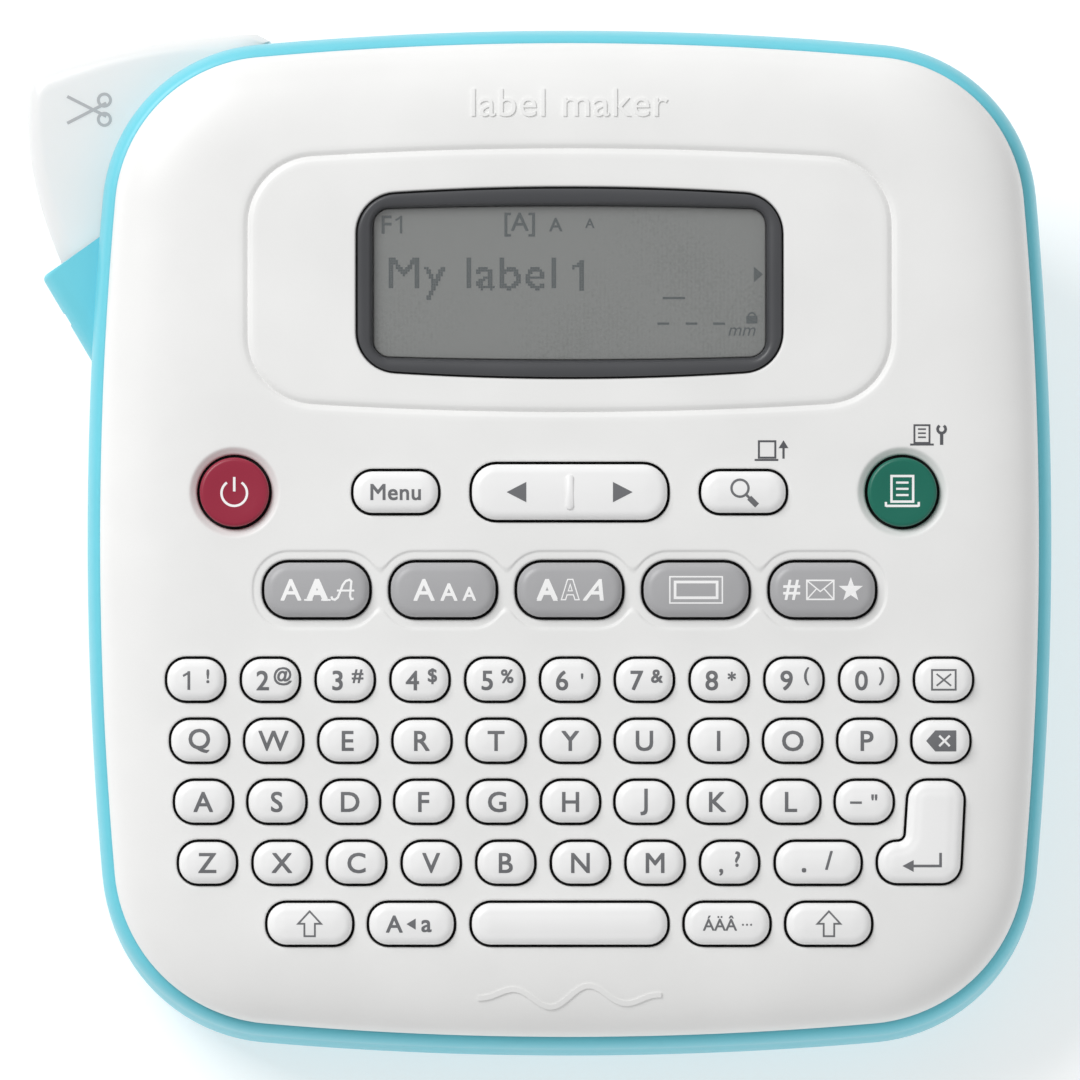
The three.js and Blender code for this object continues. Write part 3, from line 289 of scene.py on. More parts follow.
# Moulded or rubbed surfaces: a faint drift of tone, uneven gloss, and a fine grain in relief.
def moulded(name, colour, roughness, grainMm=0.35, relief=0.012, drift=0.03, ior=1.5, **extra):
    look, tree = newFinish(name)
    where = addNode(tree, "ShaderNodeTexCoord").outputs["Object"]
    cloud = addNode(tree, "ShaderNodeTexNoise", {
        "Vector": where, "Scale": 1 / (mouldings["driftMm"] * mm), "Detail": 3.0})
    tone = addNode(tree, "ShaderNodeMapRange", {
        "Value": cloud.outputs["Fac"], "From Min": 0.3, "From Max": 0.7,
        "To Min": 1 - drift, "To Max": 1 + drift / 3})
    tint = addNode(tree, "ShaderNodeVectorMath", {
        0: toLinear(colour)[:3], "Scale": tone.outputs["Result"]}, operation="SCALE")
    gloss = addNode(tree, "ShaderNodeMapRange", {
        "Value": cloud.outputs["Fac"], "From Min": 0.3, "From Max": 0.7,
        "To Min": roughness - mouldings["handled"] / 2, "To Max": roughness + mouldings["handled"]})
    grain = addNode(tree, "ShaderNodeTexNoise", {"Vector": where, "Scale": 1 / (grainMm * mm), "Detail": 2.0})
    bump = addNode(tree, "ShaderNodeBump", {
        "Height": grain.outputs["Fac"], "Distance": relief * mm, "Strength": 1.0})
    shader = addNode(tree, "ShaderNodeBsdfPrincipled", {
        "Base Color": tint.outputs["Vector"], "Roughness": gloss.outputs["Result"], "IOR": ior,
        "Normal": bump.outputs["Normal"], **extra})
    addNode(tree, "ShaderNodeOutputMaterial", {"Surface": shader.outputs["BSDF"]})
    return look


# Rolled, drawn or plated metal: fine streaks along one way and a dull bloom in patches.
def metal(name, colour, roughness, streakMm=0.25, along=(1, 1, 12)):
    look, tree = newFinish(name)
    where = addNode(tree, "ShaderNodeTexCoord").outputs["Object"]
    stretch = addNode(tree, "ShaderNodeMapping", {
        "Vector": where, "Scale": [1 / (streakMm * mm * a) for a in along]}).outputs["Vector"]
    streaks = addNode(tree, "ShaderNodeTexNoise", {"Vector": stretch, "Scale": 1.0, "Detail": 2.0})
    gloss = addNode(tree, "ShaderNodeMapRange", {
        "Value": streaks.outputs["Fac"], "To Min": roughness - 0.08, "To Max": roughness + 0.1})
    bump = addNode(tree, "ShaderNodeBump", {"Height": streaks.outputs["Fac"], "Distance": 0.006 * mm})
    shader = addNode(tree, "ShaderNodeBsdfPrincipled", {
        "Base Color": toLinear(colour), "Metallic": 1.0, "Roughness": gloss.outputs["Result"],
        "Normal": bump.outputs["Normal"]})
    addNode(tree, "ShaderNodeOutputMaterial", {"Surface": shader.outputs["BSDF"]})
    return look


finishes = {
    "white": moulded("white moulded ABS", "f1f1f0", 0.42),  # satin, with a broad soft highlight
    "turquoise": moulded("turquoise moulded ABS", "70d0e1", 0.34),  # glossier, so the rim keeps a bright line
    # key tops are smoother than the case: small, tight highlights
    "keyWhite": moulded("white key ABS", "f6f6f6", 0.38, grainMm=0.25, relief=0.006),
    "keyGrey": moulded("grey key ABS", "aeaeb0", 0.38, grainMm=0.25, relief=0.006),
    "keyRed": moulded("crimson key ABS", "9a1f3b", 0.36, grainMm=0.3, relief=0.008),
    "keyGreen": moulded("green key ABS", "006b58", 0.36, grainMm=0.3, relief=0.008),
    "bezel": moulded("dark grey ABS", "46474a", 0.36, grainMm=0.25, relief=0.008),  # soft sheen at its roll
    # pad-printed inks dry flat and matt, with no grain to speak of
    "legend": moulded("grey pad-printed ink", "6d6e71", 0.55, relief=0.003),
    "iconGrey": moulded("dark grey pad-printed ink", "55565a", 0.55, relief=0.003),
    "whiteInk": moulded("white pad-printed ink", "fbfbfb", 0.5, relief=0.003),
    "cutterMark": moulded("pale grey pad-printed ink", "b3b4b6", 0.55, relief=0.003),
    # rubbers drink the light
    "silicone": moulded("black silicone rubber", "1b1b1c", 0.6, relief=0.02),
    "sheet": moulded("grey silicone rubber", "5a5c60", 0.6, relief=0.02),
    "rubber": moulded("black moulded rubber", "202022", 0.72, grainMm=0.5, relief=0.03),
    "black": moulded("black moulded ABS", "242527", 0.5, grainMm=0.45, relief=0.02),  # eroded, nearly matt
    "gear": moulded("natural acetal", "ebe7db", 0.35, relief=0.006, ior=1.48),  # waxy off-white
    "cassette": moulded("grey moulded polystyrene", "4d5156", 0.42, relief=0.016, ior=1.59),  # a harder gloss
    "ceramic": moulded("glazed alumina", "dedad0", 0.2, relief=0.002, ior=1.7),  # glassy and even
    "board": moulded("green solder mask", "17563a", 0.35, grainMm=1.2, relief=0.02),  # lacquer over tracks
    "steel": metal("nickel-plated steel", "c3c5c8", 0.24),  # bright with faint draw lines
    "spring": metal("drawn spring steel", "9fa3a8", 0.3, along=(1, 1, 4)),  # duller, streaked along the wire
    "aluminium": metal("extruded aluminium", "c9ccd0", 0.36, along=(1, 10, 1)),  # soft drawn lines
    # shiny wrapped film, dark over most of a cell and coppery at its positive end
    "sleeve": moulded("printed PET film over steel", "27303d", 0.22, grainMm=2.0, relief=0.004, drift=0.08),
    "sleeveBand": moulded("copper-coloured PET film", "b9793f", 0.25, grainMm=2.0, relief=0.004,
                          Metallic=0.7),
}
print("finishes ready:", len(finishes))

# The base shell: a bowl with a rolled rim and the tape chute at its side.

caseBox = boxOn(deck, "top_cover")
coverTop = float(caseBox[1][2])
case = {
    "half": (73.8, 78.0), "bow": (587.0, 530.0), "corners": (25.8, 27.2),
    "rim": 2.05, "rimDepth": 4.5, "wall": 2.4, "ledge": 4.45,
    "floorIn": (5.8, 2.8, 7.8), "floorCorner": 20,  # how far the floor draws in at the sides, rear and front
}
door = boxOn(desk, "bottom_cover")
floorLevel = float(door[0][2])


def caseLoop(inset, steps=(14, 20, 14)):
    return bowedBox(case["half"], case["bow"], case["corners"], inset, steps)


def deckToDesk(loop, w):
    points = [desk.inverted() @ (deck @ Vector((*p, w))) for p in loop]
    return np.array(points)


def floorLoop(inset):
    reach = deckToDesk(np.array([(0, case["half"][1]), (0, -case["half"][1])]), 0)[:, 1]
    sideIn, rearIn, frontIn = case["floorIn"]
    rear, front = reach[0] - rearIn, reach[1] + frontIn
    half = (case["half"][0] - sideIn, (rear - front) / 2)
    corners = (case["floorCorner"], case["floorCorner"])
    return bowedBox(half, case["bow"], corners, inset, centre=(0, (rear + front) / 2))


def bowl(inset, low, rimLevel, steps=16):
    upper, lower = deckToDesk(caseLoop(inset), rimLevel), floorLoop(inset)
    rings = []
    for t in np.linspace(math.pi / 2, 0, steps):
        drop, drawIn = math.sin(t), 1 - math.cos(t)
        ring = upper.copy()
        ring[:, :2] += (lower - upper[:, :2]) * drawIn
        ring[:, 2] += (low - upper[:, 2]) * drop
        rings.append(ring)
    return rings


def rimRings():
    rings = []
    for t in np.linspace(0, math.pi / 2, 9)[1:]:
        inset = (case["rim"] - 0.1) * (1 - math.cos(t))
        rings.append(deckToDesk(caseLoop(inset), case["rimDepth"] * (math.sin(t) - 1)))
    return rings


leverBox = boxOn(deck, "cutter_lever")
lever = {"bottom": float(leverBox[0][2]), "top": float(leverBox[1][2]), "band": 2.3, "wall": 1.6,
         "below": 0.3, "above": 0.4}
corner = np.array((-case["half"][0], case["half"][1]))  # rear left corner of the case, before rounding
chute = {"tip": corner + (-7.3, -37.5), "end": corner + (0.7, -50.9), "wall": 1.8, "top": -5.5, "round": 3.8,
         "slot": 2.2, "cornerRadii": (0.9, 0.6, 0.6, 0.3, 0.5)}
chuteWay = (chute["end"] - chute["tip"]) / np.linalg.norm(chute["end"] - chute["tip"])
chuteIn = np.array((-chuteWay[1], chuteWay[0]))


def chuteShape():
    # its slanted face, then the three corners that lie inside the bowl
    loop = [chute["tip"] + chuteWay * 0.3 + chuteIn * 0.05, chute["end"] + chuteWay * 3.2,
            corner + (5.1, -54.1), corner + (3.5, -29.6), corner + (1.9, -31.5)]
    low = lever["bottom"] - lever["below"] - chute["wall"]
    rounded = roundCorners(loop, chute["cornerRadii"], 5)
    # the roof falls away to the slanted face in one broad round
    rings = [atLevel(rounded, low)]
    face = np.clip(((rounded - chute["tip"]) @ chuteIn) / chute["round"], 0, 1)
    for t in np.linspace(0, math.pi / 2, 9):
        drawn = rounded + chuteIn * (chute["round"] * (1 - math.cos(t)) * (1 - face))[:, None]
        rings.append(atLevel(drawn, chute["top"] - chute["round"] * (1 - math.sin(t))))
    return loft(rings)


# The room that the lever and its swing need, open to the rear and the left.
def leverRoom():
    tip = chute["tip"] + chuteIn * chute["wall"] + chuteWay * 0.2
    end = chute["end"] + chuteIn * chute["wall"]
    loop = np.array([tip, end, (corner[0] + 12, end[1]), corner + (28.3, -18), corner + (28.3, 12),
                     corner + (-18, 12), (corner[0] - 18, tip[1] + 12)])
    return prism(loop, lever["bottom"] - lever["below"], lever["top"] + lever["above"])


def tapeSlot():
    middle = (chute["tip"] + chute["end"]) / 2
    across, along = chuteWay * chute["slot"] / 2, chuteIn * 4
    loop = np.array([middle - across - along, middle + across - along,
                     middle + across + along, middle - across + along])
    return prism(loop, lever["bottom"] + lever["above"], lever["top"] - lever["above"])


screwBoxes = [boxOn(desk, f"case_screw_{i}") for i in range(1, 5)]
caseScrew = {"sunk": 2.1, "boss": 3.6, "bossHeight": 7.7, "headRoom": 2.9, "bore": 1.7,
             "head": 2.6, "shank": 1.4}
inlet = np.mean(boxOn(desk, "power_inlet"), 0)
inletBore = 4.2


def column(radius, place, low, high, sides=28):
    return prism(circle(place[:2], radius, sides), low, high)


def makeBase():
    ledge, wall, rimDepth = caseLoop(case["ledge"]), case["wall"], case["rimDepth"]
    outer = loft(bowl(0, floorLevel, -rimDepth) + rimRings())
    inner = loft(bowl(wall, floorLevel + wall, -rimDepth - wall)
                 + [deckToDesk(ledge, -rimDepth), deckToDesk(ledge, 1)])
    steps = [("DIFFERENCE", inner, desk)]
    screws = [(np.mean(box, 0), box[0][2] + caseScrew["sunk"]) for box in screwBoxes]
    for place, shelf in screws:
        boss = column(caseScrew["boss"], place, floorLevel + 0.3, shelf + caseScrew["bossHeight"])
        steps.append(("UNION", boss, desk))
    steps += [("UNION", chuteShape(), deck), ("DIFFERENCE", leverRoom(), deck),
              ("DIFFERENCE", tapeSlot(), deck)]
    for place, shelf in screws:
        steps.append(("DIFFERENCE", column(caseScrew["headRoom"], place, -1, shelf), desk))
        steps.append(("DIFFERENCE", column(caseScrew["bore"], place, -1, shelf + 20), desk))
    gap = doorMake["gap"]
    opening = roundedBox(doorMake["width"] + 2 * gap, doorDepth + 2 * gap, doorMake["corner"] + gap,
                         (doorX, doorMiddle), 8)
    steps.append(("DIFFERENCE", prism(opening, 0, floorLevel + wall + 0.1), desk))
    bore, faces = column(inletBore, (0, 0), -12, 12, 32)
    bore = bore[:, [2, 0, 1]] + np.array((case["half"][0], inlet[1], inlet[2]))
    steps.append(("DIFFERENCE", (bore, faces), desk))
    return carve("baseShell", outer, steps, [finishes["turquoise"]], desk)


doorMake = {"width": 96, "corner": 6, "gap": 0.4, "thick": 1.8, "hookReach": 1.4, "hookX": 34, "ribs": 5}
doorDepth = float(door[1][1] - door[0][1] - doorMake["hookReach"])  # the hooks reach past the rear edge
doorMiddle = float(door[0][1] + doorDepth / 2)
doorX = float((door[0][0] + door[1][0]) / 2)
base = fit(makeBase(), "case", ["base_shell"])
print("base shell made:", len(base.data.polygons), "faces")

# Keys: where each one is and its outline.

keyMake = {"gap": 0.43, "lip": 0.5, "corner": 3.3, "wideCorner": 4.15, "roll": 1.55, "drop": 1.35,
           "crown": 0.16,
           "skirt": 6.05}
shortWidth, shortDepth = 9.45, 7.16  # hole of a letter key


class Key:
    def __init__(self, name, node, body, centre, size=None, radius=None, corners=None, finish="keyWhite"):
        self.name, self.node, self.body = name, node, body
        self.corner = keyMake["wideCorner" if size and size[1] > 8 else "corner"]
        self.centre, self.size, self.radius, self.corners = np.array(centre, float), size, radius, corners
        self.finish = finish
        self.top = float(boxOn(deck, node)[1][2])
        self.bottom = float(boxOn(deck, node)[0][2])

    def outline(self, grow, steps=8):
        if self.radius:
            return circle(self.centre, self.radius + grow, 64)
        if self.corners is not None:
            outer = max(keyMake["corner"] + grow, 0.05)
            radii = [outer, outer, outer, outer, max(0.9 - grow, 0.2), outer]
            return roundCorners(growCorners(self.corners, grow), radii, steps)
        width, depth = self.size
        r = max(min(self.corner, depth / 2) + grow, 0.05)
        return roundedBox(width + 2 * grow, depth + 2 * grow, r, self.centre, steps)

    def reach(self):  # how far in from the edge the cap is narrowest
        if self.radius:
            return self.radius - keyMake["gap"]
        return min(self.size) / 2 - keyMake["gap"]


def keyFrom(node, name, **more):
    low, high = boxOn(deck, node)
    size = (high - low)[:2] - 2 * keyMake["lip"]
    return Key(name, node, node.replace("key_", "") + "_key", ((low + high) / 2)[:2], tuple(size), **more)


def roundFrom(node, name, finish):
    low, high = boxOn(deck, node)
    radius = float((high - low)[0]) / 2 - keyMake["lip"]
    body = node.replace("key_", "") + "_key"
    return Key(name, node, body, ((low + high) / 2)[:2], radius=radius, finish=finish)


rows = {
    "digit": {"node": "keys_digit_row", "count": 11, "pitch": 11.4},
    "upper": {"node": "keys_upper_row", "count": 11, "pitch": 11.3},
    "home": {"node": "keys_home_row", "count": 10, "pitch": 11.19},
    "lower": {"node": "keys_lower_row", "count": 8, "pitch": 11.37},
}


def rowOf(name):
    facts = rows[name]
    low, high = boxOn(deck, facts["node"])
    middle = ((low + high) / 2)[:2]
    first = middle[0] - (facts["count"] - 1) * facts["pitch"] / 2
    return [Key(f"{name} key {i + 1}", facts["node"], f"{name}_row_keys",
                (first + i * facts["pitch"], middle[1]),
                (shortWidth, shortDepth)) for i in range(facts["count"])]


enterCorners = np.array([(-8.9, -8.2), (4.3, -8.2), (5.1, 8.2), (-4.1, 8.2), (-4.7, -1.1), (-8.9, -1.1)])
enterBox = boxOn(deck, "key_enter")
enterMiddle = ((enterBox[0] + enterBox[1]) / 2)[:2]
enterKey = Key("enter key", "key_enter", "enter_key", enterMiddle, (6.3, 6.3),
               corners=enterCorners + enterMiddle - (enterCorners.min(0) + enterCorners.max(0)) / 2)
powerKey = roundFrom("key_power", "power key", "keyRed")
printKey = roundFrom("key_print", "print key", "keyGreen")
cursorLow, cursorHigh = boxOn(deck, "key_cursor")
cursorKey = Key("cursor key", "key_cursor", "cursor", ((cursorLow + cursorHigh) / 2)[:2],
                tuple((cursorHigh - cursorLow)[:2] - 2 * keyMake["lip"]))
menuKey, findKey = keyFrom("key_menu", "menu key"), keyFrom("key_find", "find key")
fontKey = keyFrom("key_font", "font key", finish="keyGrey")
sizeKey = keyFrom("key_size", "size key", finish="keyGrey")
styleKey = keyFrom("key_style", "style key", finish="keyGrey")
borderKey = keyFrom("key_frame", "border key", finish="keyGrey")
symbolKey = keyFrom("key_symbol", "symbol key", finish="keyGrey")
periodKey, capsKey = keyFrom("key_period", "period key"), keyFrom("key_caps", "caps key")
leftShift, rightShift = keyFrom("key_shift_left", "left shift"), keyFrom("key_shift_right", "right shift")
spaceKey, accentKey = keyFrom("key_space", "space bar"), keyFrom("key_accent", "accent key")
functionKeys = [fontKey, sizeKey, styleKey, borderKey, symbolKey]
roundKeys = [powerKey, printKey]
pillKeys = [menuKey, findKey, cursorKey, periodKey, capsKey, leftShift, rightShift, spaceKey, accentKey,
            enterKey]
rowKeys = {name: rowOf(name) for name in rows}
everyKey = functionKeys + roundKeys + pillKeys + [key for row in rowKeys.values() for key in row]

# The top cover: a rolled edge, a grooved panel and lipped key holes.

cover = {
    "shoulder": 17.0, "bluntness": 2.9, "wall": 2.1, "gap": 0.3,
    "edgeBand": 8.5,  # the steepest part of the rolled edge is laid out in rings
    "lip": 0.35,
    "panel": (98.2, 40.2, 10.4, 644.0), "panelV": 39.6, "grooveDepth": 0.6, "grooveWidth": 0.9,
    "dish": 1.25, "dishDepth": 0.75,
    "recess": 1.35, "recessDepth": 0.26, "recessStep": 0.45, "recessBlend": 2.0,
    "spacing": 2.6,
}
windowBox = boxOn(deck, "display_frame")
displayMiddle = ((windowBox[0] + windowBox[1]) / 2)[:2]
display = {"width": 64.6, "depth": 28.7, "corner": 6.0, "bow": 420.0, "screen": (60.0, 23.6, 2.6, 900.0)}


def displayLoop(grow, steps=(4, 12, 10)):
    half = (display["width"] / 2, display["depth"] / 2)
    corners = (display["corner"], display["corner"])
    return bowedBox(half, (4000.0, display["bow"]), corners, -grow, steps, displayMiddle)


def panelLoop(grow, steps=(8, 14, 22)):
    width, depth, r, bow = cover["panel"]
    return bowedBox((width / 2, depth / 2), (4000.0, bow), (r, r), -grow, steps, (0, cover["panelV"]))


def rolled(share):
    n = cover["bluntness"]
    return (1 - (1 - np.clip(share, 0, 1)) ** n) ** (1 / n)


caseEdge = caseLoop(case["rim"], (10, 24, 10))
panelEdge = panelLoop(0)
frameHole = displayLoop(0.3)
holes = [evenly(key.outline(0, 8)) for key in everyKey] + [evenly(frameHole)]


# How far a point lies outside the function keys, run together with a soft valley between neighbours.
def recessDistance(points):
    found = np.full(len(points), 6.0)
    for key in functionKeys:
        one = signedDistance(points, key.outline(0, 12), 6.0)
        blend = np.clip(1 - np.abs(one - found) / cover["recessBlend"], 0, 1)
        found = np.minimum(one, found) - blend ** 2 * cover["recessBlend"] / 4
    return found


# Height of the cover's outer skin over the deck.
def coverHeight(points):
    d = -signedDistance(points, caseEdge, 400.0)
    w = cover["gap"] + (coverTop - cover["gap"]) * rolled(d / cover["shoulder"])
    groove = np.abs(signedDistance(points, panelEdge))
    soft = np.clip(1 - groove / cover["grooveWidth"], 0, 1)
    w -= cover["grooveDepth"] * soft ** 1.6
    inside = cover["recess"] + cover["recessStep"] / 2 - recessDistance(points)
    step = np.clip(inside / cover["recessStep"], 0, 1)
    w -= cover["recessDepth"] * step * step * (3 - 2 * step)
    for key in roundKeys:
        r = np.linalg.norm(points - key.centre, axis=1) - key.radius
        dish = np.clip(1 - r / cover["dish"], 0, 1)
        w -= cover["dishDepth"] * np.sin(dish * math.pi / 2) ** 1.5
    for loop in holes:
        d = np.clip(signedDistance(points, loop), 0, cover["lip"])
        w -= cover["lip"] * (1 - np.sqrt(np.clip(1 - (1 - d / cover["lip"]) ** 2, 0, 1)))
    return w


def underHeight(points):
    d = -signedDistance(points, caseEdge, 400.0) - cover["wall"]
    inner = (coverTop - cover["wall"]) * rolled(d / (0.8 * cover["shoulder"]))
    return np.where(d < 0, cover["gap"], np.maximum(inner, cover["gap"]))


# Rows of points along every fold in the cover, each with the edges that join neighbours in a row.
def foldRows():
    points, edges = [], []

    def addRow(row, keep=None):
        keep = np.ones(len(row), bool) if keep is None else keep
        start = sum(len(p) for p in points)
        number = np.cumsum(keep) - 1 + start
        for i, j in enumerate(np.roll(np.arange(len(row)), -1)):
            if keep[i] and keep[j]:
                edges.append((int(number[i]), int(number[j])))
        points.append(row[keep])

    for key in everyKey:
        offsets = [0.1, 0.22, cover["lip"], 0.7]
        if key in functionKeys:
            offsets += [0.95, 1.12, 1.22, 1.35, 1.48, 1.6, 1.9, 2.3, 2.8]
        if key in roundKeys:
            offsets = [0.12, 0.3, 0.5, 0.7, 0.9, 1.1, 1.25, 1.5, 2.0]
        for grow in offsets:
            ring = evenly(key.outline(grow, 12), 0.7)
            away = np.full(len(ring), 9.0)
            for other in everyKey:
                if other is not key and np.linalg.norm(other.centre - key.centre) < 45:
                    away = np.minimum(away, signedDistance(ring, other.outline(0, 8)))
            addRow(ring, away > grow + 0.02)
    for grow in (0.12, 0.25, cover["lip"], 0.8):
        addRow(displayLoop(0.3 + grow))
    for grow in (-1.6, -cover["grooveWidth"], -0.7, -0.45, -0.22, -0.1, 0, 0.1, 0.22, 0.45, 0.7,
                 cover["grooveWidth"], 1.6):
        addRow(panelLoop(grow, (12, 18, 40)))
    return np.concatenate(points), edges


# Close-set points where the valleys run between the function keys.
def valleyPoints():
    found = []
    for left, right in zip(functionKeys, functionKeys[1:]):
        middle = (left.centre + right.centre) / 2
        spots = np.array([(x, y) for x in np.arange(-2.4, 2.41, 0.2)
                          for y in np.arange(-5, 5.01, 0.2)]) + middle
        depth = recessDistance(spots)
        found.append(spots[(depth > 0.5) & (depth < 2.0)])
    return np.concatenate(found)


def plainPoints():
    found = [caseLoop(case["rim"] + inset, (10, 20, 10)) for inset in (10.2, 12.0, 14.2, 16.9)]
    spacing = cover["spacing"]
    reach = case["half"]
    across = np.arange(-reach[0], reach[0], spacing)
    rowsUp = np.arange(-reach[1], reach[1], spacing * 0.87)
    grid = np.array([(x + (j % 2) * spacing / 2, y) for j, y in enumerate(rowsUp) for x in across])
    depth = -signedDistance(grid, caseEdge, 400.0)
    found.append(grid[depth > 17.8])
    points = np.concatenate(found)
    clear = np.ones(len(points), bool)
    for loop in holes:
        clear &= signedDistance(points, loop) > 1.1
    for key in functionKeys + roundKeys:
        clear &= signedDistance(points, key.outline(0), 6.0) > 3.4
    clear &= np.abs(signedDistance(points, panelEdge)) > 2.2
    return points[clear]


def thinned(points, apart):
    seen, kept = set(), []
    for p in points:
        cell = tuple(np.round(p / apart).astype(int))
        if cell not in seen:
            seen.add(cell)
            kept.append(p)
    return np.array(kept)


def makeCover():
    steps = (12, 26, 12)
    insets = [0, 0.012, 0.05, 0.12, 0.24, 0.42, 0.68, 1.0, 1.45, 2.0, 2.7, 3.5, 4.5, 5.6, 6.9,
              cover["edgeBand"]]
    rings = [caseLoop(case["rim"] + inset, steps) for inset in insets]
    rim = rings[-1]
    count = len(rim)
    folds, foldEdges = foldRows()
    loose = thinned(np.concatenate([plainPoints(), valleyPoints()]), 0.09)
    loose = loose[-signedDistance(loose, rim, 400.0) > 0.4]
    points, edges = [rim], [(i, (i + 1) % count) for i in range(count)]
    start = count
    for loop in holes:
        n = len(loop)
        edges += [(start + i, start + (i + 1) % n) for i in range(n)]
        points.append(loop)
        start += n
    points += [folds, loose]
    edges += [(a + start, b + start) for a, b in foldEdges]
    flat = [Vector(p) for p in np.concatenate(points)]
    verts, _, faces, origins, *_ = delaunay_2d_cdt(flat, edges, [], 0, 1e-5)
    verts = np.array(verts)
    faces = [f for f in faces if len(f) >= 3]
    middles = np.array([verts[list(f)].mean(0) for f in faces])
    keep = inside(middles, rim)
    for loop in holes:
        near = np.all((middles > loop.min(0)) & (middles < loop.max(0)), axis=1)
        spot = np.where(near)[0]
        keep[spot[inside(middles[spot], loop)]] = False
    faces = [f for f, k in zip(faces, keep) if k]
    flatRings = np.concatenate(rings[:-1])
    n = len(flatRings)
    allPoints = np.concatenate([flatRings, verts])
    placed = {source: i + n for i, sources in enumerate(origins) for source in sources}
    last = [placed[i] for i in range(count)]  # the rim's points, wherever the triangulation put them
    quads = []
    for level in range(len(rings) - 1):
        upper = last if level == len(rings) - 2 else [(level + 1) * count + i for i in range(count)]
        for i in range(count):
            j = (i + 1) % count
            quads.append((level * count + i, level * count + j, upper[j], upper[i]))
    top = quads + [tuple(int(i) + n for i in f) for f in faces]
    above = atLevel(allPoints, 0)
    above[:, 2] = coverHeight(allPoints)
    below = atLevel(allPoints, 0)
    below[:, 2] = np.minimum(underHeight(allPoints), above[:, 2])
    return above, below, top


def closeShell(above, below, top):
    mesh = bmesh.new()
    high = [mesh.verts.new(p) for p in above]
    low = [mesh.verts.new(p) for p in below]
    for face in top:
        mesh.faces.new([high[i] for i in face])
        mesh.faces.new([low[i] for i in reversed(face)])
    mesh.verts.ensure_lookup_table()
    count = len(above)
    mesh.verts.index_update()
    rims = [e for e in mesh.edges if len(e.link_faces) == 1 and e.verts[0].index < count]
    for edge in rims:
        loop = edge.link_loops[0]
        a, b = loop.vert.index, loop.link_loop_next.vert.index
        if np.allclose(above[a], below[a]) and np.allclose(above[b], below[b]):
            continue
        mesh.faces.new([high[b], high[a], low[a], low[b]])
    bmesh.ops.remove_doubles(mesh, verts=mesh.verts[:], dist=1e-5)
    loose = [v for v in mesh.verts if not v.link_faces]
    bmesh.ops.delete(mesh, geom=loose, context="VERTS")
    bmesh.ops.recalc_face_normals(mesh, faces=mesh.faces[:])
    made = bpy.data.meshes.new("topCover")
    mesh.to_mesh(made)
    mesh.free()
    return made


coverMesh = closeShell(*makeCover())
coverMesh.transform(deck)
coverMesh.materials.append(finishes["white"])
coverMesh.shade_smooth()
coverMesh.set_sharp_from_angle(angle=math.radians(50))
topCover = bpy.data.objects.new("topCover", coverMesh)
bpy.context.scene.collection.objects.link(topCover)
fit(topCover, "case", ["top_cover"])
print("top cover made:", len(coverMesh.polygons), "faces")

# Key caps, rolled at the edge and a little crowned.

def capHeight(key, d):
    if key.radius:  # round keys are nearly flush, with a soft edge and a dished face
        edge = key.top - 0.5 + 0.5 * np.sqrt(np.clip(1 - (1 - np.clip(d / 0.6, 0, 1)) ** 2, 0, 1))
        return edge - 0.3 * np.clip((d - 0.6) / (key.radius - 0.6), 0, 1) ** 0.8
    roll, drop, crown = keyMake["roll"], keyMake["drop"], keyMake["crown"]
    rising = drop * np.sqrt(np.clip(1 - (1 - np.clip(d / roll, 0, 1)) ** 2, 0, 1))
    share = np.clip((d - roll) / (key.reach() - roll), 0, 1)
    return key.top - drop - crown + rising + crown * (1 - (1 - share) ** 2)


def capShape(key, lowest, flange=True):
    gap, low = keyMake["gap"], key.bottom
    rings = []
    if flange:
        rings += [atLevel(key.outline(keyMake["lip"]), low), atLevel(key.outline(keyMake["lip"]), low + 1)]
    rings.append(atLevel(key.outline(-gap), low + 1 if flange else lowest))
    first = 0.6 if key.radius else keyMake["roll"]
    insets = [first * (1 - math.cos(t)) for t in np.linspace(0, math.pi / 2, 9)]
    insets += list(np.linspace(first, key.reach() - 0.12, 5))[1:]
    rings += [atLevel(key.outline(-gap - d), float(capHeight(key, d))) for d in insets]
    return loft(rings)


def looksByHeight(shape, limit):
    return [0 if np.mean([shape[0][i][2] for i in f]) < limit else 1 for f in shape[1]]


def addCaps(name, keys, node, body, extra=()):
    parts = []
    if len(keys) > 1:
        low, high = boxOn(deck, node)
        web = roundedBox(*(high - low)[:2], keyMake["corner"], ((low + high) / 2)[:2])
        parts.append(loft([atLevel(web, low[2]), atLevel(web, low[2] + 1)]))
    parts += [capShape(key, keys[0].bottom + 0.5, len(keys) == 1) for key in keys]
    shape = joined(parts + list(extra))
    looks = [finishes["silicone"], finishes[keys[0].finish]]
    piece = addPiece(name, shape, looks, deck, 50, looksByHeight(shape, keyMake["skirt"]))
    return fit(piece, body, [node])


# the rocking key has a low ridge across its middle
ridge = roundedBox(1.3, 5.4, 0.64, cursorKey.centre, 6)
ridgeRings = [atLevel(ridge, cursorKey.top - 0.6), atLevel(ridge, cursorKey.top + 0.0)]
ridgeRings.append(atLevel(roundedBox(0.9, 5.0, 0.44, cursorKey.centre, 6), cursorKey.top + 0.18))
for name, keys in rowKeys.items():
    addCaps(f"{name}RowCaps", keys, rows[name]["node"], f"{name}_row_keys")
for key in functionKeys + roundKeys + pillKeys:
    label = key.name.split()[0] + key.name.split()[1].capitalize()
    ridges = [loft(ridgeRings)] if key is cursorKey else []
    addCaps(label, [key], key.node, key.body, ridges)
print("key caps made:", len(everyKey))

# Printing: flat shapes laid over whatever they are printed on.

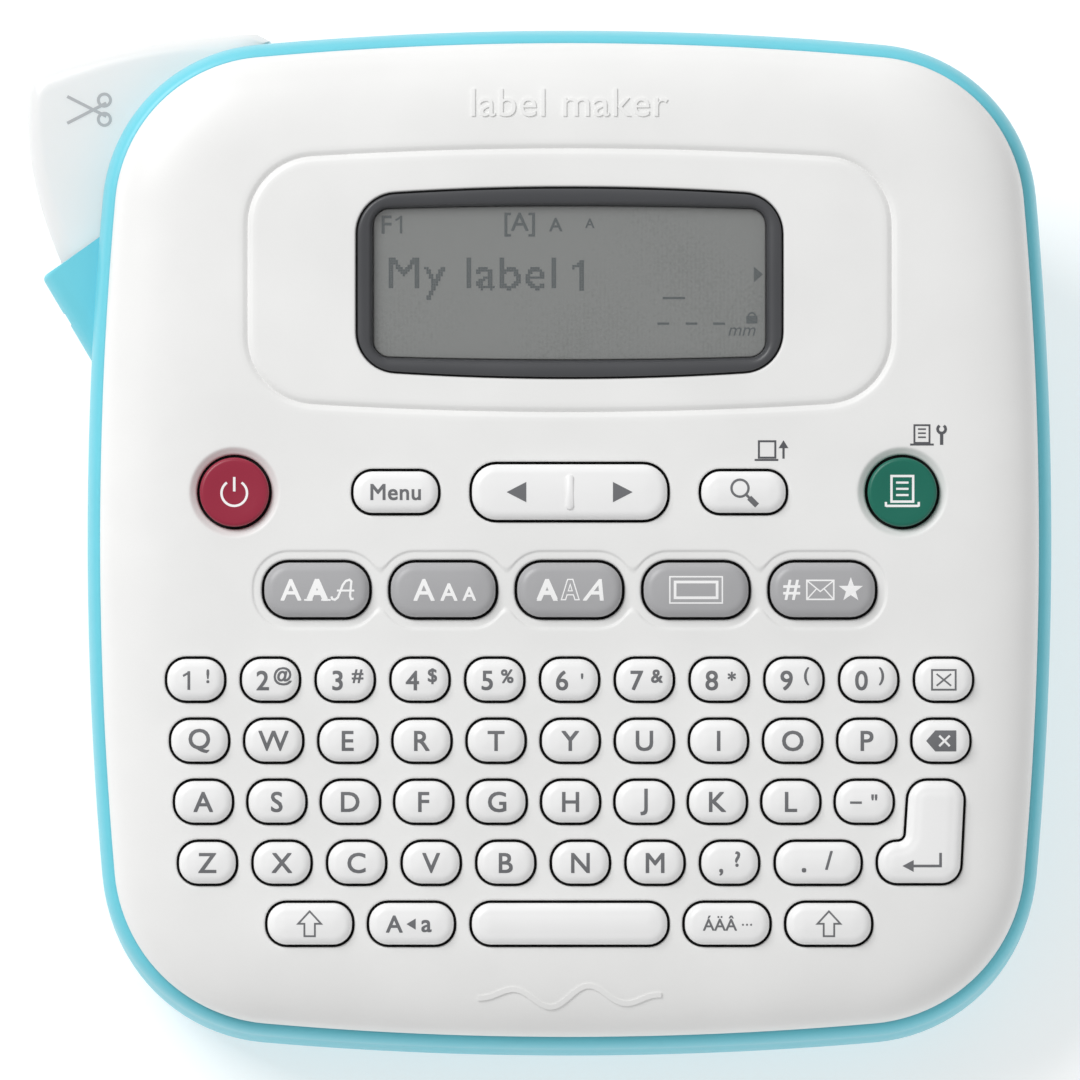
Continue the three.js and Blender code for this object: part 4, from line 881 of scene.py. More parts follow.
# Words as flat shapes; weight thickens every stroke by that many millimetres a side.
def textShape(words, height, centre=(0, 0), weight=0.0, slant=0.0, spacing=1.0):
    curve = bpy.data.curves.new("words", "FONT")
    curve.body, curve.size, curve.shear = words, 1.0, slant
    curve.space_character = spacing
    curve.resolution_u = 4
    holder = bpy.data.objects.new("words", curve)
    bpy.context.scene.collection.objects.link(holder)
    graph = bpy.context.evaluated_depsgraph_get()
    mesh = bpy.data.meshes.new_from_object(holder.evaluated_get(graph))
    verts = np.array([v.co[:2] for v in mesh.vertices])
    faces = [tuple(p.vertices) for p in mesh.polygons]
    bpy.data.objects.remove(holder)
    bpy.data.meshes.remove(mesh)
    verts = (verts - (verts.min(0) + verts.max(0)) / 2) * (height / capRatio) + np.array(centre)
    if not weight:
        return verts, faces
    return joined([(verts + weight * np.array(way), faces) for way in ((-1, -1), (1, -1), (-1, 1), (1, 1))])


capRatio = 1.0
letterH = textShape("H", 1.0)[0]
capRatio = float(np.ptp(letterH[:, 1]))


def polygon(points, centre=(0, 0)):
    points = np.array(points, float) + np.array(centre)
    return points, [tuple(t) for t in tessellate_polygon([[Vector((*p, 0)) for p in points]])]


def stroke(path, width, centre=(0, 0), closed=False):
    path = np.array(path, float) + np.array(centre)
    count = len(path)
    verts, faces = [], []
    for i in range(count):
        before = path[i] - path[i - 1] if i or closed else path[1] - path[0]
        after = path[(i + 1) % count] - path[i] if i < count - 1 or closed else before
        before, after = before / np.linalg.norm(before), after / np.linalg.norm(after)
        side = np.array((-(before + after)[1], (before + after)[0]))
        side = side / np.linalg.norm(side)
        reach = width / 2 / max(side @ np.array((-before[1], before[0])), 0.35)
        verts += [path[i] + side * reach, path[i] - side * reach]
    for i in range(count if closed else count - 1):
        j = (i + 1) % count
        faces.append((2 * i + 1, 2 * j + 1, 2 * j, 2 * i))
    return np.array(verts), faces


def boxPath(width, height):
    x, y = width / 2, height / 2
    return [(-x, -y), (x, -y), (x, y), (-x, y)]


def areaOf(loop):
    following = np.roll(loop, -1, 0)
    return float(np.sum(loop[:, 0] * following[:, 1] - following[:, 0] * loop[:, 1])) / 2


# Makes one sheet of shapes that overlap.
def merged(verts, faces):
    areas = [areaOf(verts[list(face)]) for face in faces]
    upright = [face if area > 0 else tuple(face)[::-1]
               for face, area in zip(faces, areas) if abs(area) > 1e-5]
    sheet = delaunay_2d_cdt([Vector(v) for v in verts], [], upright, 0, 1e-6)
    found, kept = np.array(sheet[0]), [tuple(face) for face, source in zip(sheet[2], sheet[5]) if source]
    covered = sum(areaOf(found[list(face)]) for face in kept)
    if covered > 1.01 * np.abs(areas).sum():  # a sliver let the sheet spill past the shapes' edges
        return verts, faces
    return found, kept


# Cuts flat shapes finely, lays them over a surface and gives them the thickness of ink.
def draped(shapes, height, thick=0.03, finest=0.7):
    verts, faces = merged(*joined(shapes))
    verts = atLevel(verts, 0)
    mesh = bmesh.new()
    made = [mesh.verts.new(v) for v in verts]
    for face in faces:
        if len(set(face)) > 2 and not mesh.faces.get([made[i] for i in face]):
            mesh.faces.new([made[i] for i in face])
    bmesh.ops.triangulate(mesh, faces=mesh.faces[:])
    for _ in range(7):
        long = [e for e in mesh.edges if e.calc_length() > finest]
        if not long:
            break
        bmesh.ops.subdivide_edges(mesh, edges=long, cuts=1)
        bmesh.ops.triangulate(mesh, faces=[f for f in mesh.faces if len(f.verts) > 3])
    levels = height(np.array([v.co[:2] for v in mesh.verts]))
    for vert, w in zip(mesh.verts, levels):
        vert.co.z = w - 0.02
    grown = bmesh.ops.extrude_face_region(mesh, geom=mesh.faces[:], use_keep_orig=True)
    for item in grown["geom"]:
        if isinstance(item, bmesh.types.BMVert):
            item.co.z += thick + 0.02
    bmesh.ops.recalc_face_normals(mesh, faces=mesh.faces[:])
    mesh.verts.index_update()
    shape = (np.array([v.co[:] for v in mesh.verts]), [tuple(v.index for v in f.verts) for f in mesh.faces])
    mesh.free()
    return shape


def onCap(key, shapes, thick=0.03):
    edge = key.outline(-keyMake["gap"], 8)
    placed = [(v + key.centre, f) for v, f in shapes]
    return draped(placed, lambda p: capHeight(key, -signedDistance(p, edge, 50.0)), thick)


def printed(name, shapes, finish, body):
    return fit(addPiece(name, joined(shapes), [finishes[finish]], deck, 30), body)


ink = {"letter": 2.95, "digit": 2.85, "mark": 1.95, "weight": 0.055}


# The figure one with a flag, which the plain typeface draws as a bare stem.
def figureOne(height, centre=(0, 0), width=0.42):
    half = height / 2
    return [stroke([(0.2, -half), (0.2, half)], width, centre),
            stroke([(0.2, half - 0.5 * width), (-0.24 * height, half - 0.26 * height)], 0.8 * width, centre)]


def letters(words, height=ink["letter"], at=(0, 0), weight=ink["weight"], **more):
    return textShape(words, height, at, weight, **more)


deleteTag = polygon([(-2.3, 0), (-0.9, 1.6), (2.3, 1.6), (2.3, -1.6), (-0.9, -1.6)])
crossMark = [stroke([(-0.75, -0.8), (0.85, 0.8)], 0.34, (0.45, 0)),
             stroke([(-0.75, 0.8), (0.85, -0.8)], 0.34, (0.45, 0))]
clearBox = [stroke(boxPath(3.6, 3.0), 0.28, closed=True), stroke([(-1.1, -0.9), (1.1, 0.9)], 0.26),
            stroke([(-1.1, 0.9), (1.1, -0.9)], 0.26)]
legendRows = {
    "digit": [figureOne(ink["digit"], (-1.2, -0.1)) + [letters("!", ink["mark"], (1.9, 0.55))]]
             + [[letters(a, ink["digit"], (-1.15, -0.1)), letters(b, ink["mark"], (1.9, 0.55))]
                for a, b in zip("234567890", "@#$%'&*()")] + [clearBox],
    "upper": [[letters(a)] for a in "QWERTYUIOP"] + [[deleteTag]],
    "home": [[letters(a)] for a in "ASDFGHJKL"] + [[stroke([(-2.2, -0.1), (-0.4, -0.1)], 0.36),
                                                    letters("\"", 1.1 * ink["mark"], (1.5, 0.7))]],
    "lower": [[letters(a)] for a in "ZXCVBNM"] + [
        [letters(",", 2.6, (-1.3, -1.4)), letters("?", 2.2, (1.2, 0.6))]],
}
for name, keys in rowKeys.items():
    shapes = [onCap(key, shape) for key, shape in zip(keys, legendRows[name])]
    printed(f"{name}RowLegends", shapes, "legend", f"{name}_row_keys")
printed("deleteCross", [onCap(rowKeys["upper"][-1], crossMark, 0.045)], "keyWhite", "upper_row_keys")

arrowLeft = polygon([(-1.5, 0), (1.5, 1.55), (1.5, -1.55)], (-8.1, 0))
arrowRight = polygon([(1.5, 0), (-1.5, -1.55), (-1.5, 1.55)], (8.1, 0))
shiftArrow = [(0, 1.95), (1.75, 0.05), (0.8, 0.05), (0.8, -1.85), (-0.8, -1.85), (-0.8, 0.05), (-1.75, 0.05)]
lens = [stroke(circle((-0.55, 0.6), 1.3, 28), 0.36, closed=True), stroke([(0.4, -0.4), (0.95, -0.95)], 0.4),
        stroke([(0.85, -0.85), (2.05, -2.05)], 0.85)]
home = np.array((53.6, -48.9)) - enterKey.centre
enterArrow = [stroke([(2.9, 1.25), (2.9, -0.75), (-1.3, -0.75)], 0.4, home),
              polygon([(-2.9, -0.75), (-1.2, 0.15), (-1.2, -1.65)], home)]
smallLegends = [
    (menuKey, [letters("Menu", 2.35, spacing=1.05)]), (cursorKey, [arrowLeft, arrowRight]), (findKey, lens),
    (periodKey, [letters(".", 2.9, (-2.2, -1.1), 0.09), letters("/", 2.7, (1.6, 0.4))]),
    (enterKey, enterArrow),
    (capsKey, [letters("A", 2.5, (-2.6, 0)), polygon([(-0.75, 0), (0.65, 0.85), (0.65, -0.85)]),
               letters("a", 2.6, (2.3, -0.3))]),
    (accentKey, [letters("ÁÄÂ", 1.75, (-1.1, 0.15), 0.03),
                 *[polygon(circle((2.4 + 0.62 * i, -0.1), 0.16, 10)) for i in range(3)]]),
    (leftShift, [stroke(shiftArrow, 0.27, closed=True)]),
    (rightShift, [stroke(shiftArrow, 0.27, closed=True)]),
]
for key, shapes in smallLegends:
    printed(key.node + "Legend", [onCap(key, shapes)], "legend", key.body)

serif = [stroke([(-2.0, -1.52), (-0.7, -1.52)], 0.26), stroke([(0.6, -1.52), (2.05, -1.52)], 0.26)]
scriptSpine = [(-1.75, -1.0), (-1.6, -1.4), (-1.2, -1.5), (-0.75, -1.15), (0.0, 0.75), (0.45, 1.35),
               (1.0, 1.55), (1.3, 1.3), (1.1, -0.9), (1.25, -1.4), (1.65, -1.35)]
script = [stroke(scriptSpine, 0.34), stroke([(-0.9, -0.1), (1.75, -0.1)], 0.3)]
hollowEdge = [(-1.35, -1.5), (-0.4, 1.6), (0.4, 1.6), (1.35, -1.5), (0.72, -1.5), (0.48, -0.75),
              (-0.48, -0.75), (-0.72, -1.5)]
hollow = [stroke(hollowEdge, 0.18, closed=True),
          stroke([(-0.3, -0.15), (0, 0.85), (0.3, -0.15)], 0.16, closed=True)]
star = [(r * math.sin(a), r * math.cos(a)) for a, r in zip(np.arange(10) * math.pi / 5, [1.95, 0.78] * 5)]
envelope = [stroke(boxPath(4.1, 2.9), 0.24, closed=True), stroke([(-2, 1.4), (0, -0.25), (2, 1.4)], 0.2),
            stroke([(-2, -1.4), (-0.55, 0.2)], 0.2), stroke([(2, -1.4), (0.55, 0.2)], 0.2)]
page = [stroke(boxPath(3.3, 3.9), 0.36, (0, 0.5), closed=True), stroke([(-2.5, -2.1), (2.5, -2.1)], 0.36),
        stroke([(-2.5, -1.5), (-2.5, -2.2)], 0.36), stroke([(2.5, -1.5), (2.5, -2.2)], 0.36),
        *[stroke([(-0.95, 1.45 - 0.95 * i), (0.95, 1.45 - 0.95 * i)], 0.32) for i in range(3)]]
powerMark = [stroke(arc((0, -0.15), 1.95, math.radians(125), math.radians(415), 30), 0.36),
             stroke([(0, 0.1), (0, 2.3)], 0.38)]


def moved(shapes, shift):
    return [(v + np.array(shift), f) for v, f in shapes]


whiteLegends = [
    (fontKey, [letters("A", 3.15, (-3.9, 0)), letters("A", 3.0, (0.1, 0), 0.17), *moved(serif, (0.1, 0)),
               *moved(script, (4.0, 0))]),
    (sizeKey, [letters("A", 3.2, (-2.9, 0)), letters("A", 2.55, (0.9, -0.33)),
               letters("A", 2.0, (4.0, -0.6))]),
    (styleKey, [letters("A", 3.05, (-3.4, 0), 0.13), *moved(hollow, (0.1, 0)),
                letters("A", 3.15, (3.6, 0), 0.06, slant=0.35)]),
    (borderKey, [stroke(boxPath(8.0, 4.0), 0.22, closed=True), stroke(boxPath(6.4, 2.4), 0.42, closed=True)]),
    (symbolKey, [letters("#", 2.9, (-4.7, 0)), *moved(envelope, (-0.35, 0)), polygon(star, (4.3, 0))]),
    (powerKey, powerMark), (printKey, page),
]
for key, shapes in whiteLegends:
    printed(key.node + "Legend", [onCap(key, shapes)], "whiteInk", key.body)

feedIcon = [stroke(boxPath(2.5, 2.5), 0.3, (0, 0.3), closed=True), stroke([(-1.9, -1.3), (1.7, -1.3)], 0.3),
            stroke([(2.5, -1.1), (2.5, 0.9)], 0.34), polygon([(2.5, 1.7), (1.75, 0.5), (3.25, 0.5)])]
setupIcon = [stroke(boxPath(2.3, 2.7), 0.28, (-0.9, 0.25), closed=True),
             stroke([(-2.7, -1.35), (0.9, -1.35)], 0.3),
             *[stroke([(-1.5, 1.0 - 0.62 * i), (-0.3, 1.0 - 0.62 * i)], 0.24) for i in range(3)],
             stroke([(2.1, -1.4), (2.1, 0.6)], 0.5), stroke(arc((2.1, 1.0), 0.62, 2.1, 7.3, 10), 0.42)]
deckIcons = moved(feedIcon, (30.1, 13.5)) + moved(setupIcon, (54.6, 15.9))
printed("deckIcons", [draped(deckIcons, coverHeight)], "iconGrey", "case")

# plain raised words and a curl of tape stand where a maker would put marks of its own
raised = [textShape("label maker", 4.2, (0, 66.7), spacing=1.05)]
curl = [(x, -69.6 + 1.7 * math.sin(x * 0.52) * math.cos(x * 0.1)) for x in np.linspace(-14, 14, 90)]
raised.append(stroke(curl, 0.75))
fit(addPiece("raisedMarks", draped(raised, coverHeight, 0.24), [finishes["white"]], deck, 60), "case")
print("legends printed")

# The display: bezel, clear window, and the reflective panel with its characters.

def screenLoop(grow, steps=(4, 12, 10)):
    width, depth, r, bow = display["screen"]
    return bowedBox((width / 2, depth / 2), (4000.0, bow), (r, r), -grow, steps, displayMiddle)


def tube(rings):
    verts, faces = loft(rings, closed=False)
    count, last = len(rings[0]), (len(rings) - 1) * len(rings[0])
    faces += [(last + i, last + (i + 1) % count, (i + 1) % count, i) for i in range(count)]
    return verts, faces


bezelLow, bezelTop = float(windowBox[0][2]), float(windowBox[1][2])
windowLow, windowTop = (float(corner[2]) for corner in boxOn(deck, "display_window"))
# up the outside, over the rolled edge, then down to the window and through
bezelRings = [
    (displayLoop, 1.6, bezelLow), (displayLoop, 1.6, bezelLow + 1), (displayLoop, 0, bezelLow + 1),
    (displayLoop, 0, bezelTop - 0.3), (displayLoop, -0.09, bezelTop - 0.09),
    (displayLoop, -0.3, bezelTop), (screenLoop, 0.75, bezelTop - 0.06),
    (screenLoop, 0.45, bezelTop - 0.22), (screenLoop, 0.12, windowTop - 0.1),
    (screenLoop, 0.0, windowTop - 0.5), (screenLoop, 0.0, bezelLow),
]
bezelShape = tube([atLevel(outline(grow), level) for outline, grow, level in bezelRings])
bezel = addPiece("displayBezel", bezelShape, [finishes["bezel"]], deck, 45)
fit(bezel, "case", ["display_frame"])

pane, tree = newFinish("clear PMMA window")  # clear acrylic: shows what is behind, with a thin sheen
shader = addNode(tree, "ShaderNodeBsdfPrincipled", {
    "Base Color": toLinear("ffffff"), "Roughness": 0.08, "IOR": 1.49, "Alpha": 0.06})
addNode(tree, "ShaderNodeOutputMaterial", {"Surface": shader.outputs["BSDF"]})
windowShape = loft([atLevel(screenLoop(-0.12), windowLow), atLevel(screenLoop(-0.12), windowTop)])
fit(addPiece("displayWindow", windowShape, [pane]), "case", ["display_window"])

lcdLook, tree = newFinish("reflective LCD glass")  # grey-green mirror film behind fine electrodes
where = addNode(tree, "ShaderNodeTexCoord").outputs["Object"]
weave = addNode(tree, "ShaderNodeTexNoise", {"Vector": where, "Scale": 1 / (0.45 * mm), "Detail": 2.0})
slow = addNode(tree, "ShaderNodeTexNoise", {"Vector": where, "Scale": 1 / (22 * mm)})
lines = addNode(tree, "ShaderNodeTexWave", {"Vector": where, "Scale": 1 / (2.0 * mm)})
mixed = addNode(tree, "ShaderNodeMath", {0: weave.outputs["Fac"], 1: slow.outputs["Fac"]}, operation="ADD")
shade = addNode(tree, "ShaderNodeMath", {
    0: lines.outputs["Fac"], 1: 0.12, 2: mixed.outputs["Value"]}, operation="MULTIPLY_ADD")
ramp = addNode(tree, "ShaderNodeValToRGB", {"Fac": shade.outputs["Value"]})
ramp.color_ramp.elements[0].position, ramp.color_ramp.elements[0].color = 0.6, toLinear("5e625f")
ramp.color_ramp.elements[1].position, ramp.color_ramp.elements[1].color = 1.0, toLinear("6e716f")
shader = addNode(tree, "ShaderNodeBsdfPrincipled", {
    "Base Color": ramp.outputs["Color"], "Roughness": 0.35, "IOR": 1.5})
addNode(tree, "ShaderNodeOutputMaterial", {"Surface": shader.outputs["BSDF"]})
finishes["segment"] = moulded("dark liquid crystal", "142a2e", 0.4, relief=0.001)

panelBox = boxOn(deck, "lcd_module")
panelTop = float(panelBox[1][2])
carrier = loft([atLevel(displayLoop(1.0), float(panelBox[0][2])), atLevel(displayLoop(1.0), bezelLow - 0.3),
                atLevel(screenLoop(-0.25), bezelLow - 0.3), atLevel(screenLoop(-0.25), panelTop - 0.02)])
fit(addPiece("lcdPanel", carrier, [lcdLook]), "case", ["lcd_module"])


# Sets words in square dots, as the panel's rows and columns do.
def dotted(shape, corner, pitch):
    verts, faces = shape
    verts = verts - verts.min(0) + np.array(corner)
    tree = BVHTree.FromPolygons([Vector((*v, 0)) for v in verts], faces)
    low, high = verts.min(0), verts.max(0)
    dots = []
    for x in np.arange(low[0] + pitch / 2, high[0] + pitch / 2, pitch):
        for y in np.arange(low[1] + pitch / 2, high[1] + pitch / 2, pitch):
            if tree.ray_cast(Vector((x, y, 1)), Vector((0, 0, -1)))[0] is not None:
                dots.append((x, y))
    return dots


def dotPlates(dots, size, low, high):
    return [prism(np.array(boxPath(size, size)) + np.array(d), low, high) for d in dots]


screenText = {"pitch": 0.36, "dot": 0.34, "lift": 0.03}
middle = displayMiddle
words = textShape("My label", 4.9, (0, 0), 0.04, spacing=1.1)
big = dotted(words, middle + (-27.6, -2.6), screenText["pitch"])
big += dotted(joined(figureOne(4.7, width=0.6)), middle + (0.4, -1.2), screenText["pitch"])
shown = dotPlates(big, screenText["dot"], panelTop, panelTop + screenText["lift"])
# the status row, then a cursor dash, an arrow head, the length read-out and a padlock
flat = [
    letters("F", 2.7, middle + (-27.9, 8.9), 0.04), *figureOne(2.7, middle + (-25.9, 8.9), 0.36),
    letters("[A]", 2.7, middle + (-7.6, 8.9), 0.04), letters("A", 2.0, middle + (-2.1, 8.9), 0.04),
    letters("A", 1.4, middle + (3.1, 9.1), 0.03), stroke([(14.2, -2.3), (17.6, -2.3)], 0.36, middle),
    polygon([(28.1, 0.1), (28.1, 2.5), (29.5, 1.3)], middle),
    stroke([(13.4, -6.2), (15.2, -6.2)], 0.36, middle), stroke([(17.7, -6.2), (19.5, -6.2)], 0.36, middle),
    stroke([(21.9, -6.2), (23.7, -6.2)], 0.36, middle),
    textShape("mm", 1.9, middle + (26.3, -7.4), 0.0, 0.25),
    polygon(boxPath(1.7, 1.2), middle + (27.8, -5.6)),
    stroke(arc((27.8, -5.1), 0.55, 0, math.pi, 8), 0.26, middle),
]


def onPanel(points):
    return np.full(len(points), panelTop)


shown += [draped([shape], onPanel, screenText["lift"], 5.0) for shape in flat]
printed("lcdCharacters", shown, "segment", "case")
print("display made:", len(big), "dots")

# The cutter lever: a milky moulding with a rounded band along its outer edges.

# milky, so a little of what is under it shows through
leverLook, tree = newFinish("translucent moulded polypropylene")
shader = addNode(tree, "ShaderNodeBsdfPrincipled", {
    "Base Color": toLinear("eceded"), "Roughness": 0.3, "IOR": 1.49, "Subsurface Weight": 0.2,
    "Subsurface Radius": (0.004, 0.004, 0.0045), "Subsurface Scale": 1.0})
addNode(tree, "ShaderNodeOutputMaterial", {"Surface": shader.outputs["BSDF"]})
finishes["lever"] = leverLook


# Each corner is an offset from the case's rear left corner, then the way it moves when the plan is drawn in.
def leverLoop(inset, steps=10):
    def at(x, v, inX, inV):
        return corner + (x + inX * inset, v + inV * inset)

    def curve(start, control, end):
        t = np.linspace(0, 1, steps + 1)[:, None]
        return ((1 - t) ** 2 * start + 2 * t * (1 - t) * control + t * t * end)[1:]

    line = [at(22.6, -8, -1, 0), at(25.6, -5, -2.5, 0.3), at(27.9, -1.5, -3.65, -0.9),
            at(25.8, -0.4, -3.3, -1.3)]
    rear = curve(line[-1], at(7.8, -0.6, 0, -1.1), at(-7.5, -6.1, 1.1, -1.2))
    tip = curve(rear[-1], at(-9.1, -6.8, 1, -1), at(-9.3, -10, 1, -0.3))
    side = curve(tip[-1], at(-10.2, -23.5, 1, 0), at(-2.5, -39.1, 1, 2.2))
    back = [at(0.6, -37.4, 0, 1.8), at(3.3, -33, -0.5, 1), at(6.3, -25.5, -1, 1), at(13.8, -18.5, -0.4, 1),
            at(22.6, -18.5, -1, 1)]
    return np.concatenate([line, rear, tip, side, back])


pinLow, pinHigh = boxOn(deck, "lever_pivot_pin")
pinRadius, pinMiddle = float(pinHigh[0] - pinLow[0]) / 2, (pinLow + pinHigh) / 2
hub = {"recess": 4.8, "radius": 3.0, "bore": 1.6, "below": 1.1}


def pivotDisc(radius, low, high):
    return prism(circle(pinMiddle[:2], radius, 32), low, high)


def makeLever():
    low, high, band, wall = lever["bottom"], lever["top"], lever["band"], lever["wall"]
    rings = [atLevel(leverLoop(0.0), low)]
    for t in np.linspace(0, math.pi / 2, 9):
        rings.append(atLevel(leverLoop(band * (1 - math.cos(t))), high - band + band * math.sin(t)))
    pocket = loft([atLevel(leverLoop(wall), low - 1), atLevel(leverLoop(wall), high - band - 0.4),
                   atLevel(leverLoop(band + 0.8), high - wall)])
    steps = [("DIFFERENCE", pocket, deck),
             ("DIFFERENCE", pivotDisc(hub["recess"], low - 1, high - wall), deck),
             ("UNION", pivotDisc(hub["radius"], low, high - hub["below"]), deck),
             ("DIFFERENCE", pivotDisc(hub["bore"], low - 1, high + 1), deck)]
    return carve("cutterLever", loft(rings), steps, [finishes["lever"]], deck, 45)


def onLever(points):
    return np.full(len(points), lever["top"])


fit(makeLever(), "lever", ["cutter_lever"])
blades = [stroke([(-77.0, 68.0), (-71.0, 64.95)], 0.47), stroke([(-77.0, 63.9), (-71.0, 67.0)], 0.47)]
handles = [stroke(circle(c, 0.93, 24), 0.45, closed=True) for c in ((-71.3, 67.45), (-71.3, 64.5))]
printed("scissorsMark", [draped(blades + handles, onLever, 0.03)], "cutterMark", "lever")

# the lever turns on a drawn steel pin whose lower end tapers into the shell's wall
pinProfile = [(0, pinLow[2]), (pinRadius - 0.9, pinLow[2]), (pinRadius, pinLow[2] + 1.6),
              (pinRadius, pinHigh[2] - 0.3), (pinRadius - 0.3, pinHigh[2]), (0, pinHigh[2])]
verts, faces = lathe(pinProfile, 24)
pin = addPiece("leverPin", (verts + (pinMiddle[0], pinMiddle[1], 0), faces), [finishes["steel"]])
fit(pin, "case", ["lever_pivot_pin"])
print("lever made")

# Underneath: the door, the feet and the case screws.

# A flat plate with a softened lower edge, an L-shaped hook at each end of the rear edge, and stiffening ribs.
def makeDoor():
    low, top = floorLevel, floorLevel + doorMake["thick"]
    width, radius = doorMake["width"], doorMake["corner"]
    loops = [roundedBox(width - 2 * g, doorDepth - 2 * g, radius - g, (doorX, doorMiddle), 8)
             for g in (0.5, 0.15, 0.0)]
    levels = ((loops[0], low), (loops[1], low + 0.15), (loops[2], low + 0.5), (loops[2], top))
    rear, front = doorMiddle + doorDepth / 2, doorMiddle - doorDepth / 2

    def hookBlock(x, near, far, bottom, upper):
        return prism(np.array([(x - 5, near), (x + 5, near), (x + 5, far), (x - 5, far)]), bottom, upper)

    steps = []
    for x in (doorX - doorMake["hookX"], doorX + doorMake["hookX"]):
        stem = hookBlock(x, rear - 4, rear - 0.5, low + 0.6, low + 3.9)
        tongue = hookBlock(x, rear - 3.9, rear + doorMake["hookReach"], low + 2.7, low + 3.85)
        steps += [("UNION", stem, desk), ("UNION", tongue, desk)]
    for i in range(doorMake["ribs"]):
        y = front + doorDepth * (i + 1) / (doorMake["ribs"] + 1)
        rib = prism(roundedBox(84, 1.2, 0.5, (doorX, y), 3), top - 0.2, top + 0.35)
        steps.append(("UNION", rib, desk))
    plate = loft([atLevel(loop, level) for loop, level in levels])
    return carve("bottomDoor", plate, steps, [finishes["turquoise"]], desk)


fit(makeDoor(), "bottom_door", ["bottom_cover"])

footBox = boxOn(desk, "foot_front_left")
footRadius, footTop = float(footBox[1][0] - footBox[0][0]) / 2, float(footBox[1][2])
for node in ("foot_front_left", "foot_front_right", "foot_rear_left", "foot_rear_right"):
    spot = np.mean(boxOn(desk, node), 0)
    profile = [(0, 0.12), (footRadius - 1.5, 0.1), (footRadius - 1.1, 0), (footRadius - 0.5, 0.02),
               (footRadius - 0.12, 0.2), (footRadius, 0.55), (footRadius, footTop), (0, footTop)]
    verts, faces = lathe(profile)
    pad = addPiece(node + "Pad", (verts + (spot[0], spot[1], 0), faces), [finishes["rubber"]], desk)
    fit(pad, "case", [node])

for i, (low, high) in enumerate(screwBoxes):
    spot = (low + high) / 2
    head, shank, shelf, tip = caseScrew["head"], caseScrew["shank"], low[2] + caseScrew["sunk"], high[2]
    profile = [(0, low[2] + 0.02), (1.4, low[2]), (2.1, low[2] + 0.25), (2.5, low[2] + 0.8),
               (head, low[2] + 1.3), (head, shelf - 0.1), (shank, shelf - 0.1)]
    for thread in np.arange(shelf + 0.5, tip - 1.2, 0.5):
        profile += [(shank - 0.2, thread), (shank, thread + 0.25)]
    profile += [(shank - 0.3, tip - 0.6), (0, tip)]
    verts, faces = lathe(profile, 28)
    crossSlots = [("DIFFERENCE", prism(np.array(boxPath(*size)) + spot[:2], low[2] - 1, low[2] + 1.1), desk)
                  for size in ((3.0, 0.75), (0.75, 3.0))]
    body = (verts + (spot[0], spot[1], 0), faces)
    screw = carve(f"caseScrew{i + 1}", body, crossSlots, [finishes["steel"]], desk)
    fit(screw, "case", [f"case_screw_{i + 1}"])

# Inside: the cells, and the pieces seen with the door open.

cellRadius = 7.1
for i in range(6):
    low, high = boxOn(desk, f"battery_{i + 1}")
    spot, r = (low + high) / 2, cellRadius
    half = (high[1] - low[1]) / 2
    profile = [(0, -half), (r - 1.2, -half), (r - 0.4, -half + 0.3), (r, -half + 0.9), (r, half - 2.6),
               (r - 0.3, half - 2.0), (r - 1.1, half - 1.55), (2.9, half - 1.4), (2.7, half - 1.1),
               (2.6, half - 0.25), (2.3, half), (0, half)]
    verts, faces = lathe(profile, 36)
    way = 1 if i % 2 == 0 else -1
    turned = np.stack([verts[:, 0], verts[:, 2] * way, verts[:, 1] * -way], 1) + spot
    looks = [finishes["sleeve"], finishes["sleeveBand"], finishes["steel"]]
    choice = []
    for face in faces:
        ends = verts[list(face)]
        along, out = ends[:, 2].mean(), np.hypot(ends[:, 0], ends[:, 1]).max()
        bare = out < r - 0.35 or len(face) > 4
        choice.append(2 if bare else 0)
    piece = addPiece(f"cell{i + 1}", (turned, faces), looks, desk, 38, choice)
    fit(piece, "case", [f"battery_{i + 1}"])
    band, bandFaces = loft([atLevel(circle((0, 0), r + 0.06, 36), z) for z in (half - 16, half - 2.9)])
    band = np.stack([band[:, 0], band[:, 2] * way, band[:, 1] * -way], 1) + spot
    fit(addPiece(f"cell{i + 1}Band", (band, bandFaces), [finishes["sleeveBand"]], desk), "case")

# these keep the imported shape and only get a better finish
kept = {
    "mechanism_frame": "black", "power_inlet": "black",
    "circuit_board": "board", "key_contact_sheet": "sheet",
    "drive_motor": "steel", "motor_pinion": "gear", "reduction_gear": "gear", "platen_gear": "gear",
    "ribbon_spindle": "gear", "platen_roller": "rubber",
    "print_head": "ceramic", "head_heat_sink": "aluminium",
    "tape_cassette": "cassette", "cutter_blade": "steel", "lever_spring": "spring",
    "battery_contacts_front": "steel", "battery_contacts_rear": "steel",
}
for node, finish in kept.items():
    data = frame["nodes"][node].data
    data.materials.clear()
    data.materials.append(finishes[finish])
    if finish not in ("black", "gear"):
        data.shade_smooth()
        data.set_sharp_from_angle(angle=math.radians(35))
print("inside dressed")

# Floor, lamps and camera.

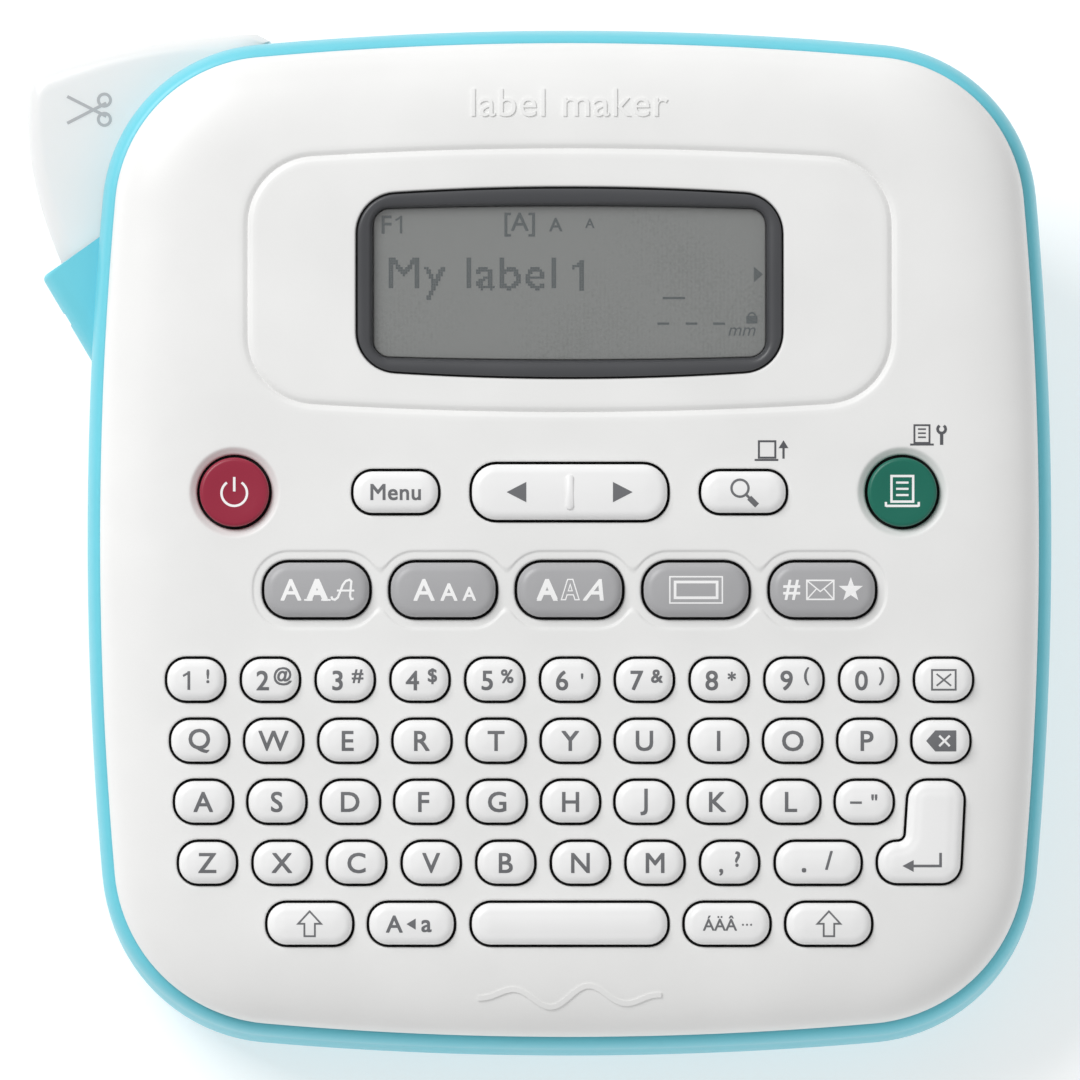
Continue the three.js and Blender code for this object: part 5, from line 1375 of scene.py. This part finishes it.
studio = {"width": 164.6, "lens": 600.0, "sensor": 36.0, "aim": (-4.51, 0.0), "floor": "cfcfcf"}


def lamp(name, place, size, power, aim=(0, 0, 0.04), tint="ffffff"):
    data = bpy.data.lights.new(name, "AREA")
    data.shape, data.size, data.size_y, data.energy = "RECTANGLE", size[0], size[1], power
    data.color = toLinear(tint)[:3]
    light = bpy.data.objects.new(name, data)
    light.location = place
    light.rotation_euler = (Vector(aim) - Vector(place)).to_track_quat("-Z", "Y").to_euler()
    bpy.context.scene.collection.objects.link(light)


# a light table's top, which keeps the ground pale round the part
floorLook, tree = newFinish("lit matte acrylic floor")
shader = addNode(tree, "ShaderNodeBsdfPrincipled", {
    "Base Color": toLinear(studio["floor"]), "Roughness": 0.9, "Emission Color": toLinear("ffffff"),
    "Emission Strength": 0.5})
addNode(tree, "ShaderNodeOutputMaterial", {"Surface": shader.outputs["BSDF"]})
floor = addPiece("paperFloor", (np.array([(-4, -4, 0), (4, -4, 0), (4, 4, 0), (-4, 4, 0)]), [(0, 1, 2, 3)]),
                 [floorLook], Matrix.Identity(4))
lamp("keySoftbox", (-0.6, 0.35, 1.0), (0.6, 0.6), 9.0)
lamp("fillSoftbox", (0.8, -0.6, 0.9), (0.9, 0.9), 1.2)
lamp("rearStrip", (0.0, 1.1, 0.5), (1.2, 0.4), 1.5)
world = bpy.data.worlds.new("studio air")
bpy.context.scene.world = world
world.use_nodes = True
world.node_tree.nodes["Background"].inputs["Color"].default_value = toLinear("ffffff")
world.node_tree.nodes["Background"].inputs["Strength"].default_value = 0.44

camera = bpy.data.cameras.new("camera")
camera.lens, camera.sensor_width = studio["lens"], studio["sensor"]
away = studio["width"] * studio["lens"] / studio["sensor"]
seat = bpy.data.objects.new("camera", camera)
seat.matrix_world = Matrix.Translation(deck @ Vector((*studio["aim"], coverTop + away))) @ turn.to_4x4()
camera.clip_start, camera.clip_end = 0.01, 20
bpy.context.scene.collection.objects.link(seat)
bpy.context.scene.camera = seat
bpy.context.scene.view_settings.view_transform = "Standard"  # whites stay white instead of being toned down
